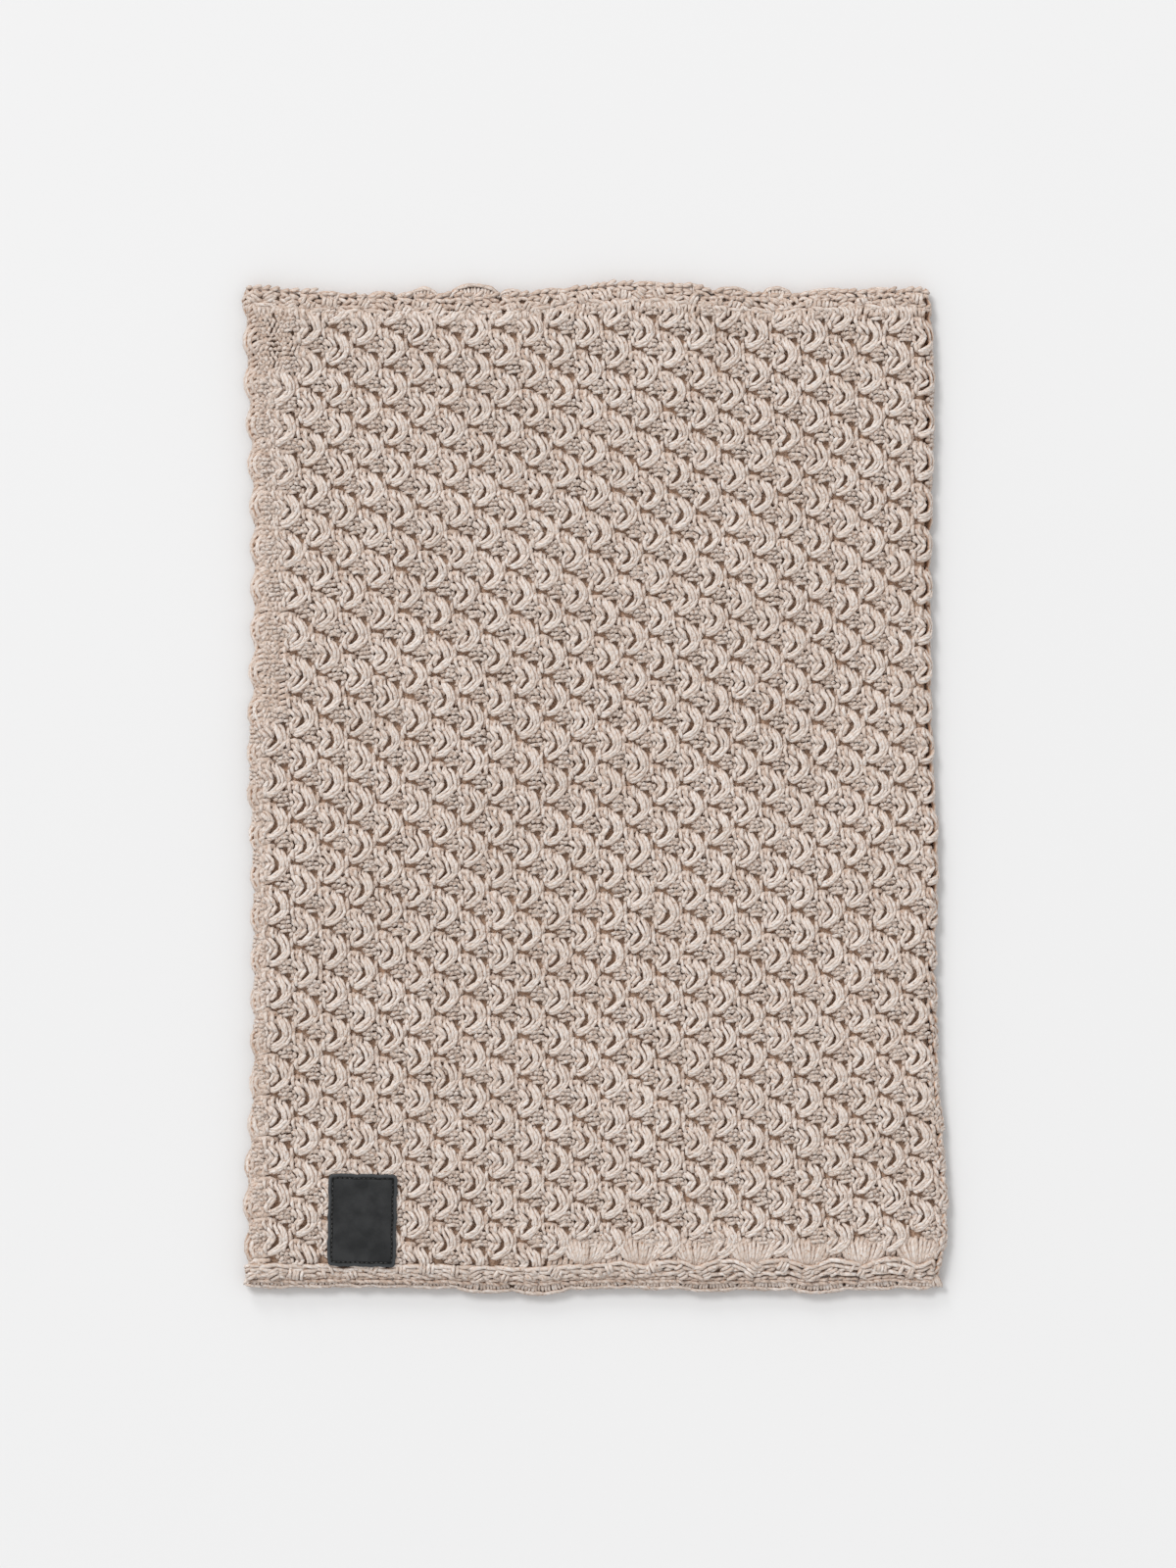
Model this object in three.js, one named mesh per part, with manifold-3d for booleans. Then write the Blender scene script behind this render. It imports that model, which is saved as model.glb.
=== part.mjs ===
// A knitted infinity scarf, laid flat: a front and a back panel in a staggered cable pattern,
// sewn together down both sides into a tube, with knitted edgings round both open ends and a
// leather label sewn on the front. Millimetres, +Z up, +Y towards the top edge, the back panel
// resting on z = 0.
import * as THREE from "three";
import { mergeVertices } from "three/addons/utils/BufferGeometryUtils.js";
import Module from "manifold-3d";

const wasm = await Module();
wasm.setup();

// Layers of the flat tube, from the table up
const BACK_WALL = 4.0;
const LAYER_GAP = 0.8;
const FRONT_UNDER = BACK_WALL + LAYER_GAP;
const FRONT_WALL = 2.3;
const CABLE_RISE = 3.3;
const SEWN_GAP = 0.3;

// The flat outline: where the two sides run at each height up the scarf
const SIDES = [
  { height: -224, left: -156.8, right: 153.8 },
  { height: -203, left: -155.8, right: 157.5 },
  { height: -183, left: -156.6, right: 158.2 },
  { height: -164, left: -155.3, right: 157.3 },
  { height: -137, left: -153.8, right: 155.1 },
  { height: -67, left: -153.2, right: 153.4 },
  { height: -28, left: -153.3, right: 154.4 },
  { height: 3, left: -154.6, right: 152.7 },
  { height: 73, left: -153.3, right: 151.2 },
  { height: 143, left: -154.2, right: 152.0 },
  { height: 178, left: -155.8, right: 152.5 },
  { height: 226, left: -157.3, right: 151.4 },
];

// The two open ends: where each layer's edge runs, from the left side to the right
const ENDS = [
  { across: -158, frontTop: 225.2, backTop: 224.2, frontFoot: -219.2, backFoot: -222.4 },
  { across: -135, frontTop: 223.4, backTop: 222.4, frontFoot: -219.8, backFoot: -223.0 },
  { across: -112, frontTop: 221.6, backTop: 220.8, frontFoot: -219.4, backFoot: -222.6 },
  { across: -78, frontTop: 221.4, backTop: 224.4, frontFoot: -219.8, backFoot: -223.4 },
  { across: -51, frontTop: 221.2, backTop: 225.8, frontFoot: -220.4, backFoot: -224.8 },
  { across: -25, frontTop: 222.6, backTop: 222.0, frontFoot: -221.0, backFoot: -225.6 },
  { across: -3, frontTop: 225.4, backTop: 224.0, frontFoot: -220.0, backFoot: -223.4 },
  { across: 32, frontTop: 226.2, backTop: 224.6, frontFoot: -220.2, backFoot: -223.6 },
  { across: 56, frontTop: 223.4, backTop: 222.6, frontFoot: -220.6, backFoot: -224.4 },
  { across: 76, frontTop: 221.6, backTop: 220.8, frontFoot: -220.2, backFoot: -223.8 },
  { across: 98, frontTop: 222.4, backTop: 221.4, frontFoot: -220.8, backFoot: -225.0 },
  { across: 128, frontTop: 223.6, backTop: 222.4, frontFoot: -220.0, backFoot: -223.2 },
  { across: 158, frontTop: 223.2, backTop: 222.2, frontFoot: -220.4, backFoot: -223.6 },
];
const EDGING_WIDTH = 7.6;
const BACK_EDGING_WIDTH = 10.5;
const SEAM_WIDTH = { left: 9.0, right: 6.5 };
const SEAM_TOP = 7.9;
const FRONT_EDGING_TOP = FRONT_UNDER + 4.3;

// The cable repeat: one curl in each half of the repeat, the halves dropped by half its height
const REPEAT_ACROSS = 24.76;
const REPEAT_UP = 17.94;
const CURL_ANCHOR = { across: -44.1, up: 119.8 };

// How far the repeat is pulled right and up from an even lattice, at three places across
const WANDER_AT = { left: -138.5, middle: -2.8, right: 135 };
const WANDER = [
  { height: -203, rightL: 13.9, rightM: 15.6, rightR: 17.6, upL: -7.0, upM: -8.8, upR: -5.3 },
  { height: -146, rightL: 14.9, rightM: 15.7, rightR: 16.2, upL: -6.2, upM: -8.0, upR: -6.5 },
  { height: -85, rightL: 15.0, rightM: 15.6, rightR: 14.0, upL: -3.6, upM: -6.2, upR: -5.1 },
  { height: -23.6, rightL: 13.6, rightM: 14.8, rightR: 11.4, upL: -0.9, upM: -3.3, upR: -2.4 },
  { height: 37.6, rightL: 12.6, rightM: 14.2, rightR: 8.3, upL: 1.8, upM: 0.4, upR: -2.5 },
  { height: 90, rightL: 9.4, rightM: 11.4, rightR: 7.3, upL: 4.1, upM: 2.7, upR: -2.2 },
  { height: 142.6, rightL: 5.5, rightM: 7.3, rightR: 7.1, upL: 4.9, upM: 4.2, upR: -0.6 },
  { height: 208, rightL: 4.0, rightM: 4.1, rightR: 6.6, upL: 5.1, upM: 4.2, upR: 1.4 },
];

// Height of the cloth, as a share of CABLE_RISE, at the eight grid points of one curl: two
// columns, the hollow side and the curl itself, and four levels a quarter of the repeat apart
const CURL_RELIEF = [
  { level: "middle", hollow: 0.42, curl: 1.0 },
  { level: "shoulder", hollow: 0.52, curl: 0.8 },
  { level: "pit", hollow: 0.08, curl: 0.14 },
  { level: "tip", hollow: 0.86, curl: 0.72 },
];
const COLUMNS_A_REPEAT = 4;
const LEVELS_A_REPEAT = 4;
const FIRST_COLUMN = -1 / 8;
const FIRST_LEVEL = -0.05;
const GRID_REACH = { left: -6.4, right: 9.6, foot: -20, top: 6.4 };
const GRID_UNDER = 1;
const UNEVEN = { share: 0.07, column: [2.3, 0.9], level: [1.7, -2.9] };

// Broad, soft waves of the laid cloth, and how far it falls towards its sides and ends
const SWELLS = [
  { high: 0.3, across: 31, up: 120 },
  { high: 0.25, across: -90, up: 43 },
];
const SIDE_FALL = { drop: 1.3, full: 4, none: 20 };
const END_FALL = { drop: 0.7, full: 6, none: 18 };

// The leather label
const LABEL = { across: -103.6, up: -192.1, width: 30.6, height: 41.3, corner: 2.2, thick: 1.5, turn: -1.1 };
const LABEL_BED = 2.3;
const LABEL_DIP = 0.35;
const LABEL_PRESS = { full: 1.5, none: 6.5 };
const LABEL_STEPS = 8;
const LABEL_CORNER_STEPS = 4;
const LABEL_SPARE = 2;
const LABEL_CUT = 12;

const WANDER_PASSES = 6;
const MERGE_WITHIN = 1e-3;

const wool = { color: 0xc6b6aa, roughness: 0.88, metalness: 0 };
const clothMaterial = new THREE.MeshStandardMaterial(wool);
const edgingMaterial = new THREE.MeshStandardMaterial({ ...wool, color: 0xc9b8aa });
const leatherMaterial = new THREE.MeshStandardMaterial({ color: 0x363636, roughness: 0.55, metalness: 0 });

// Smooth curve through one column of a table, by the table's own position column
function along(table, position, column, at) {
  const last = table.length - 1;
  const p = (i) => table[Math.min(Math.max(i, 0), last)];
  const x = Math.min(Math.max(at, table[0][position]), table[last][position]);
  let i = 0;
  while (i < last - 1 && x > table[i + 1][position]) i += 1;
  const span = p(i + 1)[position] - p(i)[position];
  const share = (x - p(i)[position]) / span;
  const slope = (k) => (p(k + 1)[column] - p(k - 1)[column]) / (p(k + 1)[position] - p(k - 1)[position]);
  const s2 = share * share;
  const s3 = s2 * share;
  return (
    (2 * s3 - 3 * s2 + 1) * p(i)[column] +
    (s3 - 2 * s2 + share) * span * slope(i) +
    (3 * s2 - 2 * s3) * p(i + 1)[column] +
    (s3 - s2) * span * slope(i + 1)
  );
}

// Curve through three values that stand at the left, middle and right of the scarf
function acrossThree(x, left, middle, right) {
  const { left: a, middle: b, right: c } = WANDER_AT;
  return (
    (left * (x - b) * (x - c)) / ((a - b) * (a - c)) +
    (middle * (x - a) * (x - c)) / ((b - a) * (b - c)) +
    (right * (x - a) * (x - b)) / ((c - a) * (c - b))
  );
}

const smooth = (low, high, x) => {
  const share = Math.min(Math.max((x - low) / (high - low), 0), 1);
  return share * share * (3 - 2 * share);
};
const side = (name, y) => along(SIDES, "height", name, y);
const end = (name, x) => along(ENDS, "across", name, x);

function wander(x, y) {
  const row = (column) => along(WANDER, "height", column, y);
  return {
    right: acrossThree(x, row("rightL"), row("rightM"), row("rightR")),
    up: acrossThree(x, row("upL"), row("upM"), row("upR")),
  };
}

// Where a point of the even lattice, counted in repeats from the anchor curl, lies on the cloth
function onCloth(repeatsAcross, repeatsUp) {
  const x0 = CURL_ANCHOR.across + repeatsAcross * REPEAT_ACROSS;
  const y0 = CURL_ANCHOR.up + repeatsUp * REPEAT_UP;
  let point = { x: x0, y: y0 };
  for (let pass = 0; pass < WANDER_PASSES; pass += 1) {
    const pull = wander(point.x, point.y);
    point = { x: x0 + pull.right, y: y0 + pull.up };
  }
  return point;
}

// Distance outside the label's outline, less than 0 inside it
function outsideLabel(x, y) {
  const turn = THREE.MathUtils.degToRad(LABEL.turn);
  const dx = x - LABEL.across;
  const dy = y - LABEL.up;
  const u = Math.abs(dx * Math.cos(turn) + dy * Math.sin(turn)) - LABEL.width / 2;
  const v = Math.abs(dy * Math.cos(turn) - dx * Math.sin(turn)) - LABEL.height / 2;
  return Math.hypot(Math.max(u, 0), Math.max(v, 0)) + Math.min(Math.max(u, v), 0);
}

// The pressed cloth under the label, which the label follows: lowest at its corners
function labelBed(x, y) {
  const u = (x - LABEL.across) / (LABEL.width / 2);
  const v = (y - LABEL.up) / (LABEL.height / 2);
  return FRONT_UNDER + FRONT_WALL + LABEL_BED - (LABEL_DIP * (u * u + v * v)) / 2;
}

// How much higher or lower than its level the laid cloth lies
function lie(x, y) {
  const swell = SWELLS.reduce((sum, { high, across, up }) => sum + high * Math.sin(x / across + y / up), 0);
  const toSide = Math.min(x - side("left", y), side("right", y) - x);
  const toEnd = Math.min(end("frontTop", x) - y, y - end("frontFoot", x));
  const fall = ({ drop, full, none }, distance) => drop * (1 - smooth(full, none, distance));
  return swell - fall(SIDE_FALL, toSide) - fall(END_FALL, toEnd);
}

// Height of the front's outer surface, where relief is the cable's share at that point
function frontHeight(x, y, relief) {
  const free = FRONT_UNDER + FRONT_WALL + CABLE_RISE * relief + lie(x, y);
  const pressed = 1 - smooth(LABEL_PRESS.full, LABEL_PRESS.none, outsideLabel(x, y));
  return free + (labelBed(x, y) - free) * pressed;
}

function meshGeometry(vertices, triangles) {
  const geometry = new THREE.BufferGeometry();
  geometry.setAttribute("position", new THREE.Float32BufferAttribute(vertices.flat(), 3));
  geometry.setIndex(triangles.flat());
  geometry.computeVertexNormals();
  return geometry;
}

function toSolid(geometry) {
  const bare = new THREE.BufferGeometry().setAttribute("position", geometry.getAttribute("position"));
  bare.setIndex(geometry.index);
  const merged = mergeVertices(bare, MERGE_WITHIN);
  return new wasm.Manifold(
    new wasm.Mesh({
      numProp: 3,
      vertProperties: new Float32Array(merged.attributes.position.array),
      triVerts: new Uint32Array(merged.index.array),
    }),
  );
}

function fromSolid(solid) {
  const mesh = solid.getMesh();
  const geometry = new THREE.BufferGeometry();
  geometry.setAttribute("position", new THREE.Float32BufferAttribute(mesh.vertProperties, 3));
  geometry.setIndex(new THREE.BufferAttribute(mesh.triVerts, 1));
  geometry.computeVertexNormals();
  return geometry;
}

// Closed body between an upper and a lower grid of points with the same rows and columns
function slab(upper, lower) {
  const rows = upper.length;
  const columns = upper[0].length;
  const vertices = [...upper.flat(), ...lower.flat()];
  const top = (r, c) => r * columns + c;
  const foot = (r, c) => rows * columns + top(r, c);
  const triangles = [];
  for (let r = 0; r < rows - 1; r += 1) {
    for (let c = 0; c < columns - 1; c += 1) {
      const ridge = upper[r][c][2] + upper[r + 1][c + 1][2] > upper[r][c + 1][2] + upper[r + 1][c][2];
      const quad = [top(r, c), top(r, c + 1), top(r + 1, c + 1), top(r + 1, c)];
      const [p, q, s, t] = ridge ? quad : [quad[1], quad[2], quad[3], quad[0]];
      triangles.push([p, q, s], [p, s, t]);
      triangles.push([foot(r, c), foot(r + 1, c + 1), foot(r, c + 1)]);
      triangles.push([foot(r, c), foot(r + 1, c), foot(r + 1, c + 1)]);
    }
  }
  const rim = [];
  for (let c = 0; c < columns - 1; c += 1) rim.push([0, c, 0, c + 1], [rows - 1, c + 1, rows - 1, c]);
  for (let r = 0; r < rows - 1; r += 1) rim.push([r, columns - 1, r + 1, columns - 1], [r + 1, 0, r, 0]);
  for (const [r0, c0, r1, c1] of rim) {
    triangles.push([foot(r0, c0), foot(r1, c1), top(r1, c1)], [foot(r0, c0), top(r1, c1), top(r0, c0)]);
  }
  return meshGeometry(vertices, triangles);
}

// Closed body through rings of points, each ring running the same way round
function loft(rings) {
  const count = rings[0].length;
  const vertices = rings.flat();
  const triangles = [];
  for (let r = 0; r < rings.length - 1; r += 1) {
    for (let i = 0; i < count; i += 1) {
      const a = r * count + i;
      const b = r * count + ((i + 1) % count);
      triangles.push([a, b, b + count], [a, b + count, a + count]);
    }
  }
  const last = (rings.length - 1) * count;
  for (let i = 1; i < count - 1; i += 1) {
    triangles.push([0, i + 1, i], [last, last + i, last + i + 1]);
  }
  return meshGeometry(vertices, triangles);
}

// A panel's outline: inside the seams and the edgings, with the gap that a sewn joint keeps
const OUTLINE_STEP = 11;
function panelShape(topName, footName, edging) {
  const inner = {
    left: (y) => side("left", y) + SEAM_WIDTH.left + SEWN_GAP,
    right: (y) => side("right", y) - SEAM_WIDTH.right - SEWN_GAP,
    top: (x) => end(topName, x) - edging - SEWN_GAP,
    foot: (x) => end(footName, x) + edging + SEWN_GAP,
  };
  const topY = inner.top(0);
  const footY = inner.foot(0);
  const acrossSteps = Math.round((inner.right(0) - inner.left(0)) / OUTLINE_STEP);
  const upSteps = Math.round((topY - footY) / OUTLINE_STEP);
  const points = [];
  for (let i = 0; i < acrossSteps; i += 1) {
    const x = THREE.MathUtils.lerp(inner.left(footY), inner.right(footY), i / acrossSteps);
    points.push(new THREE.Vector2(x, inner.foot(x)));
  }
  for (let i = 0; i < upSteps; i += 1) {
    const low = inner.foot(inner.right(footY));
    const high = inner.top(inner.right(topY));
    const y = THREE.MathUtils.lerp(low, high, i / upSteps);
    points.push(new THREE.Vector2(inner.right(y), y));
  }
  for (let i = acrossSteps; i > 0; i -= 1) {
    const x = THREE.MathUtils.lerp(inner.left(topY), inner.right(topY), i / acrossSteps);
    points.push(new THREE.Vector2(x, inner.top(x)));
  }
  for (let i = upSteps; i > 0; i -= 1) {
    const low = inner.foot(inner.left(footY));
    const high = inner.top(inner.left(topY));
    const y = THREE.MathUtils.lerp(low, high, i / upSteps);
    points.push(new THREE.Vector2(inner.left(y), y));
  }
  return new THREE.Shape(points);
}

const plate = (shape, depth) => new THREE.ExtrudeGeometry(shape, { depth, bevelEnabled: false, steps: 1 });

// The front: a wall with the cable curls raised on its outer side, cut to the panel's outline
function frontPanel() {
  const columns = Math.round((GRID_REACH.right - GRID_REACH.left) * COLUMNS_A_REPEAT);
  const levels = Math.round((GRID_REACH.top - GRID_REACH.foot) * LEVELS_A_REPEAT);
  const firstColumn = Math.round(GRID_REACH.left) * COLUMNS_A_REPEAT;
  const firstLevel = Math.round(GRID_REACH.foot) * LEVELS_A_REPEAT;
  const wave = (column, level, k) => column * UNEVEN.column[k] + level * UNEVEN.level[k];
  const upper = [];
  const lower = [];
  for (let j = 0; j <= levels; j += 1) {
    const level = firstLevel + j;
    const upperRow = [];
    const lowerRow = [];
    for (let i = 0; i <= columns; i += 1) {
      const column = firstColumn + i;
      const { x, y } = onCloth(FIRST_COLUMN + column / COLUMNS_A_REPEAT, FIRST_LEVEL + level / LEVELS_A_REPEAT);
      const dropped = Math.floor(column / 2) % 2 !== 0 ? LEVELS_A_REPEAT / 2 : 0;
      const row = CURL_RELIEF[THREE.MathUtils.euclideanModulo(level + dropped, LEVELS_A_REPEAT)];
      const share = column % 2 === 0 ? row.hollow : row.curl;
      const uneven = 1 + UNEVEN.share * Math.sin(wave(column, level, 0)) * Math.cos(wave(column, level, 1));
      upperRow.push([x, y, frontHeight(x, y, share * uneven)]);
      lowerRow.push([x, y, FRONT_UNDER - GRID_UNDER]);
    }
    upper.push(upperRow);
    lower.push(lowerRow);
  }
  const tall = FRONT_WALL + 2 * CABLE_RISE;
  const cutter = plate(panelShape("frontTop", "frontFoot", EDGING_WIDTH), tall);
  cutter.translate(0, 0, FRONT_UNDER);
  return fromSolid(toSolid(slab(upper, lower)).intersect(toSolid(cutter)));
}

const backPanel = () => plate(panelShape("backTop", "backFoot", BACK_EDGING_WIDTH), BACK_WALL);

// A side seam, rounded over from the front to the back, and bumped where the curls run into it
const SEAM_STEPS = 64;
const SEAM_POINTS = 9;
const SEAM_BUMP = 0.9;
const SEAM_SHORT = { foot: 1.6, top: 0.8 };
const SEAM_CLOSE = { share: 0.25, power: 24 };
const SEAM_ROUND = { up: 0.75, out: 0.8 };
function sideSeam(name, outward) {
  const rings = [];
  for (let k = 0; k <= SEAM_STEPS; k += 1) {
    const rough = THREE.MathUtils.lerp(-1, 1, k / SEAM_STEPS);
    const near = side(name, 0) - outward * (SEAM_WIDTH[name] / 2);
    const foot = end("frontFoot", near) - SEAM_SHORT.foot;
    const top = end("frontTop", near) - SEAM_SHORT.top;
    const y = THREE.MathUtils.lerp(foot, top, (rough + 1) / 2);
    const bump = SEAM_BUMP * Math.sin((y / REPEAT_UP) * 2 * Math.PI);
    const closed = Math.sqrt(1 - Math.pow(Math.abs(rough), SEAM_CLOSE.power));
    const round = 1 - SEAM_CLOSE.share * (1 - closed);
    const outer = side(name, y) + outward * (bump - SEAM_BUMP);
    const inner = side(name, y) - outward * SEAM_WIDTH[name];
    const width = Math.abs(outer - inner);
    const ring = [];
    for (let i = 0; i < SEAM_POINTS; i += 1) {
      const angle = -Math.PI / 2 + (Math.PI * i) / (SEAM_POINTS - 1);
      const flat = Math.sign(Math.sin(angle)) * Math.pow(Math.abs(Math.sin(angle)), SEAM_ROUND.up);
      const lift = SEAM_TOP / 2 + (flat * SEAM_TOP * round) / 2;
      const drop = (SEAM_TOP * (1 - round)) / 2;
      const reachOut = width * Math.pow(Math.max(Math.cos(angle), 0), SEAM_ROUND.out);
      ring.push([inner + outward * reachOut, y, lift - drop]);
    }
    rings.push(outward > 0 ? ring.reverse() : ring);
  }
  return loft(rings);
}

// An edging round one open end of one layer: a soft bar that swells at each stitch group
const EDGING_STEPS = 46;
const EDGING_POINTS = 8;
const EDGING_SWELL = 0.09;
const EDGING_CLEAR = 1.2;
const EDGING_SQUARE = 1.16;
const EDGING_FILL = 0.925;
function edging(endName, outward, width, low, high) {
  const rings = [];
  const height = end(endName, 0);
  const from = side("left", height) + SEAM_WIDTH.left + EDGING_CLEAR;
  const to = side("right", height) - SEAM_WIDTH.right - EDGING_CLEAR;
  for (let k = 0; k <= EDGING_STEPS; k += 1) {
    const x = THREE.MathUtils.lerp(from, to, k / EDGING_STEPS);
    const outer = end(endName, x);
    const inner = outer - outward * width;
    const middle = (outer + inner) / 2;
    const swell = 1 - EDGING_SWELL * (1 + Math.sin((x / REPEAT_ACROSS) * 4 * Math.PI));
    const ring = [];
    for (let i = 0; i < EDGING_POINTS; i += 1) {
      const angle = (2 * Math.PI * (i + 0.5)) / EDGING_POINTS;
      const square = 1 / Math.max(Math.abs(Math.cos(angle)), Math.abs(Math.sin(angle)));
      const soft = Math.min(square, EDGING_SQUARE);
      const y = middle + ((outer - inner) / 2) * Math.cos(angle) * soft * EDGING_FILL;
      const z = (low + high) / 2 + ((high - low) / 2) * Math.min(soft * Math.sin(angle), 1) * swell;
      ring.push([x, y, Math.max(z, low)]);
    }
    rings.push(outward > 0 ? ring : ring.reverse());
  }
  return loft(rings);
}

// The label: a leather patch with round corners, bent to the cloth that it is sewn to
function labelPatch() {
  const shape = new THREE.Shape();
  const w = LABEL.width / 2;
  const h = LABEL.height / 2;
  const c = LABEL.corner;
  shape.moveTo(c - w, -h).lineTo(w - c, -h).absarc(w - c, c - h, c, -Math.PI / 2, 0);
  shape.lineTo(w, h - c).absarc(w - c, h - c, c, 0, Math.PI / 2);
  shape.lineTo(c - w, h).absarc(c - w, h - c, c, Math.PI / 2, Math.PI);
  shape.lineTo(-w, c - h).absarc(c - w, c - h, c, Math.PI, 1.5 * Math.PI);
  const cutter = new THREE.ExtrudeGeometry(shape, {
    depth: LABEL_CUT,
    bevelEnabled: false,
    curveSegments: LABEL_CORNER_STEPS,
  });
  cutter.rotateZ(THREE.MathUtils.degToRad(LABEL.turn));
  cutter.translate(LABEL.across, LABEL.up, FRONT_UNDER);
  const upper = [];
  const lower = [];
  const halfUp = h + LABEL_SPARE;
  const halfAcross = w + LABEL_SPARE;
  for (let r = 0; r <= LABEL_STEPS; r += 1) {
    const y = LABEL.up + THREE.MathUtils.lerp(-halfUp, halfUp, r / LABEL_STEPS);
    const row = [];
    for (let i = 0; i <= LABEL_STEPS; i += 1) {
      const x = LABEL.across + THREE.MathUtils.lerp(-halfAcross, halfAcross, i / LABEL_STEPS);
      row.push([x, y, labelBed(x, y) + SEWN_GAP]);
    }
    lower.push(row);
    upper.push(row.map(([x, y, z]) => [x, y, z + LABEL.thick]));
  }
  return fromSolid(toSolid(slab(upper, lower)).intersect(toSolid(cutter)));
}

const pieces = [
  { name: "front_panel", geometry: frontPanel(), material: clothMaterial },
  { name: "back_panel", geometry: backPanel(), material: clothMaterial },
  { name: "left_side_seam", geometry: sideSeam("left", -1), material: clothMaterial },
  { name: "right_side_seam", geometry: sideSeam("right", 1), material: clothMaterial },
  {
    name: "front_top_edging",
    geometry: edging("frontTop", 1, EDGING_WIDTH, FRONT_UNDER, FRONT_EDGING_TOP),
    material: edgingMaterial,
  },
  {
    name: "front_foot_edging",
    geometry: edging("frontFoot", -1, EDGING_WIDTH, FRONT_UNDER, FRONT_EDGING_TOP),
    material: edgingMaterial,
  },
  {
    name: "back_top_edging",
    geometry: edging("backTop", 1, BACK_EDGING_WIDTH, 0, BACK_WALL),
    material: edgingMaterial,
  },
  {
    name: "back_foot_edging",
    geometry: edging("backFoot", -1, BACK_EDGING_WIDTH, 0, BACK_WALL),
    material: edgingMaterial,
  },
  { name: "label", geometry: labelPatch(), material: leatherMaterial },
];

const scarf = new THREE.Group();
for (const { name, geometry, material } of pieces) {
  const mesh = new THREE.Mesh(geometry, material);
  mesh.name = name;
  scarf.add(mesh);
}

// The origin is the middle of the scarf's foot, on the table
const box = new THREE.Box3().setFromObject(scarf);
scarf.position.set(-(box.min.x + box.max.x) / 2, -(box.min.y + box.max.y) / 2, -box.min.z);

export default scarf;
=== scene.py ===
# Looks of a knitted infinity scarf laid flat: every stitch of its staggered curl cables as yarn
# on a cloth tube, its chain edgings and side seams, a sewn leather label, floor and light.
import math

import bpy
import numpy as np
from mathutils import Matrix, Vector


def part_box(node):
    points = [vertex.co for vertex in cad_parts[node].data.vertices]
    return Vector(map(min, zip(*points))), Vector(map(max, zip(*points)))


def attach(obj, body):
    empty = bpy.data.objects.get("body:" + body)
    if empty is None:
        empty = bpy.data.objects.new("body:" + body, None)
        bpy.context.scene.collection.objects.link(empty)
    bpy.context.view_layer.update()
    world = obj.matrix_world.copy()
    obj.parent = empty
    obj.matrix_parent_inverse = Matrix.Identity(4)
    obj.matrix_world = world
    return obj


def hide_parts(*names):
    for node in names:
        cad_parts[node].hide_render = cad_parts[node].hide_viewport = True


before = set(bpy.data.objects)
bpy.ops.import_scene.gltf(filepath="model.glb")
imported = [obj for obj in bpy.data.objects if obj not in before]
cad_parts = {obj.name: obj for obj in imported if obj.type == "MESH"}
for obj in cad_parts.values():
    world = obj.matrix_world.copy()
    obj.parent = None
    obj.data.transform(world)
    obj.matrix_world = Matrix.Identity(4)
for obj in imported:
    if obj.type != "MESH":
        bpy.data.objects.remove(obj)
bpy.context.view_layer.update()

# Sizes are in millimetres in the plan of the laid scarf. The label fixes where that plan lies
# in the frame, so all that is made here sits where the solids are.
MM = 0.001
LABEL = dict(across=-103.6, up=-192.1, width=30.6, height=41.3, corner=2.3)
LABEL_TURN = math.radians(-1.1)
label_low, label_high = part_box("label")
LABEL_FOOT, LABEL_TOP = label_low[2] / MM, label_high[2] / MM
PLAN_OFFSET = np.array([(label_low[0] + label_high[0]) / 2 - LABEL["across"] * MM,
                        (label_low[1] + label_high[1]) / 2 - LABEL["up"] * MM, 0.0])

# Layers, from the floor up
FLOOR_CLEAR = 0.03
BACK_GROUND, BACK_FLATNESS = 2.4, 0.5
OPEN_EDGE_UP = 2.2
FRONT_GROUND, RELIEF, DEEPEST = 6.9, 0.9, 3.4
SHEET_THICK = 1.1
# The front falls toward its open ends, and is pressed down by the label and beside it
EDGE_DROP, DROP_OVER = 1.7, (-2, 12)
LABEL_UNDER, LABEL_PRESS, PRESS_OVER = 8.7, 0.25, (1.0, 7.0)
BESIDE_RISE, RISE_OVER = 3.4, (0.2, 3.4)
# The folds: height of their centre, length of arc for one turn, start inside the outline, full turn
FOLD_CENTRE, FOLD_ARC, FOLD_REACH, FOLD_TURN = 3.6, 4.5, 6.5, math.pi * 0.97
# The bulges of the left fold
SCALLOP, SCALLOP_AT, SCALLOP_PITCH = 1.7, 90.1, 18.4

# The repeat of the cable pattern and its pull out of an even lattice
REPEAT_ACROSS, REPEAT_UP = 24.76, 17.94
CURL_ANCHOR = (-44.1, 119.8)
WANDER_AT = (-138.5, -2.8, 135.0)
WANDER = np.array([
    # height, right at left, middle, right, up at left, middle, right
    (-203.0, 13.9, 15.6, 17.6, -7.0, -8.8, -5.3),
    (-146.0, 14.9, 15.7, 16.2, -6.2, -8.0, -6.5),
    (-84.9, 15.0, 15.6, 14.0, -3.6, -6.2, -5.1),
    (-23.6, 13.6, 14.8, 11.4, -0.9, -3.3, -2.4),
    (37.6, 12.6, 14.2, 8.3, 1.75, 0.4, -2.5),
    (90.0, 9.4, 11.4, 7.3, 4.1, 2.7, -2.2),
    (142.6, 5.5, 7.3, 7.1, 4.9, 4.2, -0.6),
    (208.0, 4.0, 4.1, 6.6, 5.1, 4.2, 1.4),
])
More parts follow.
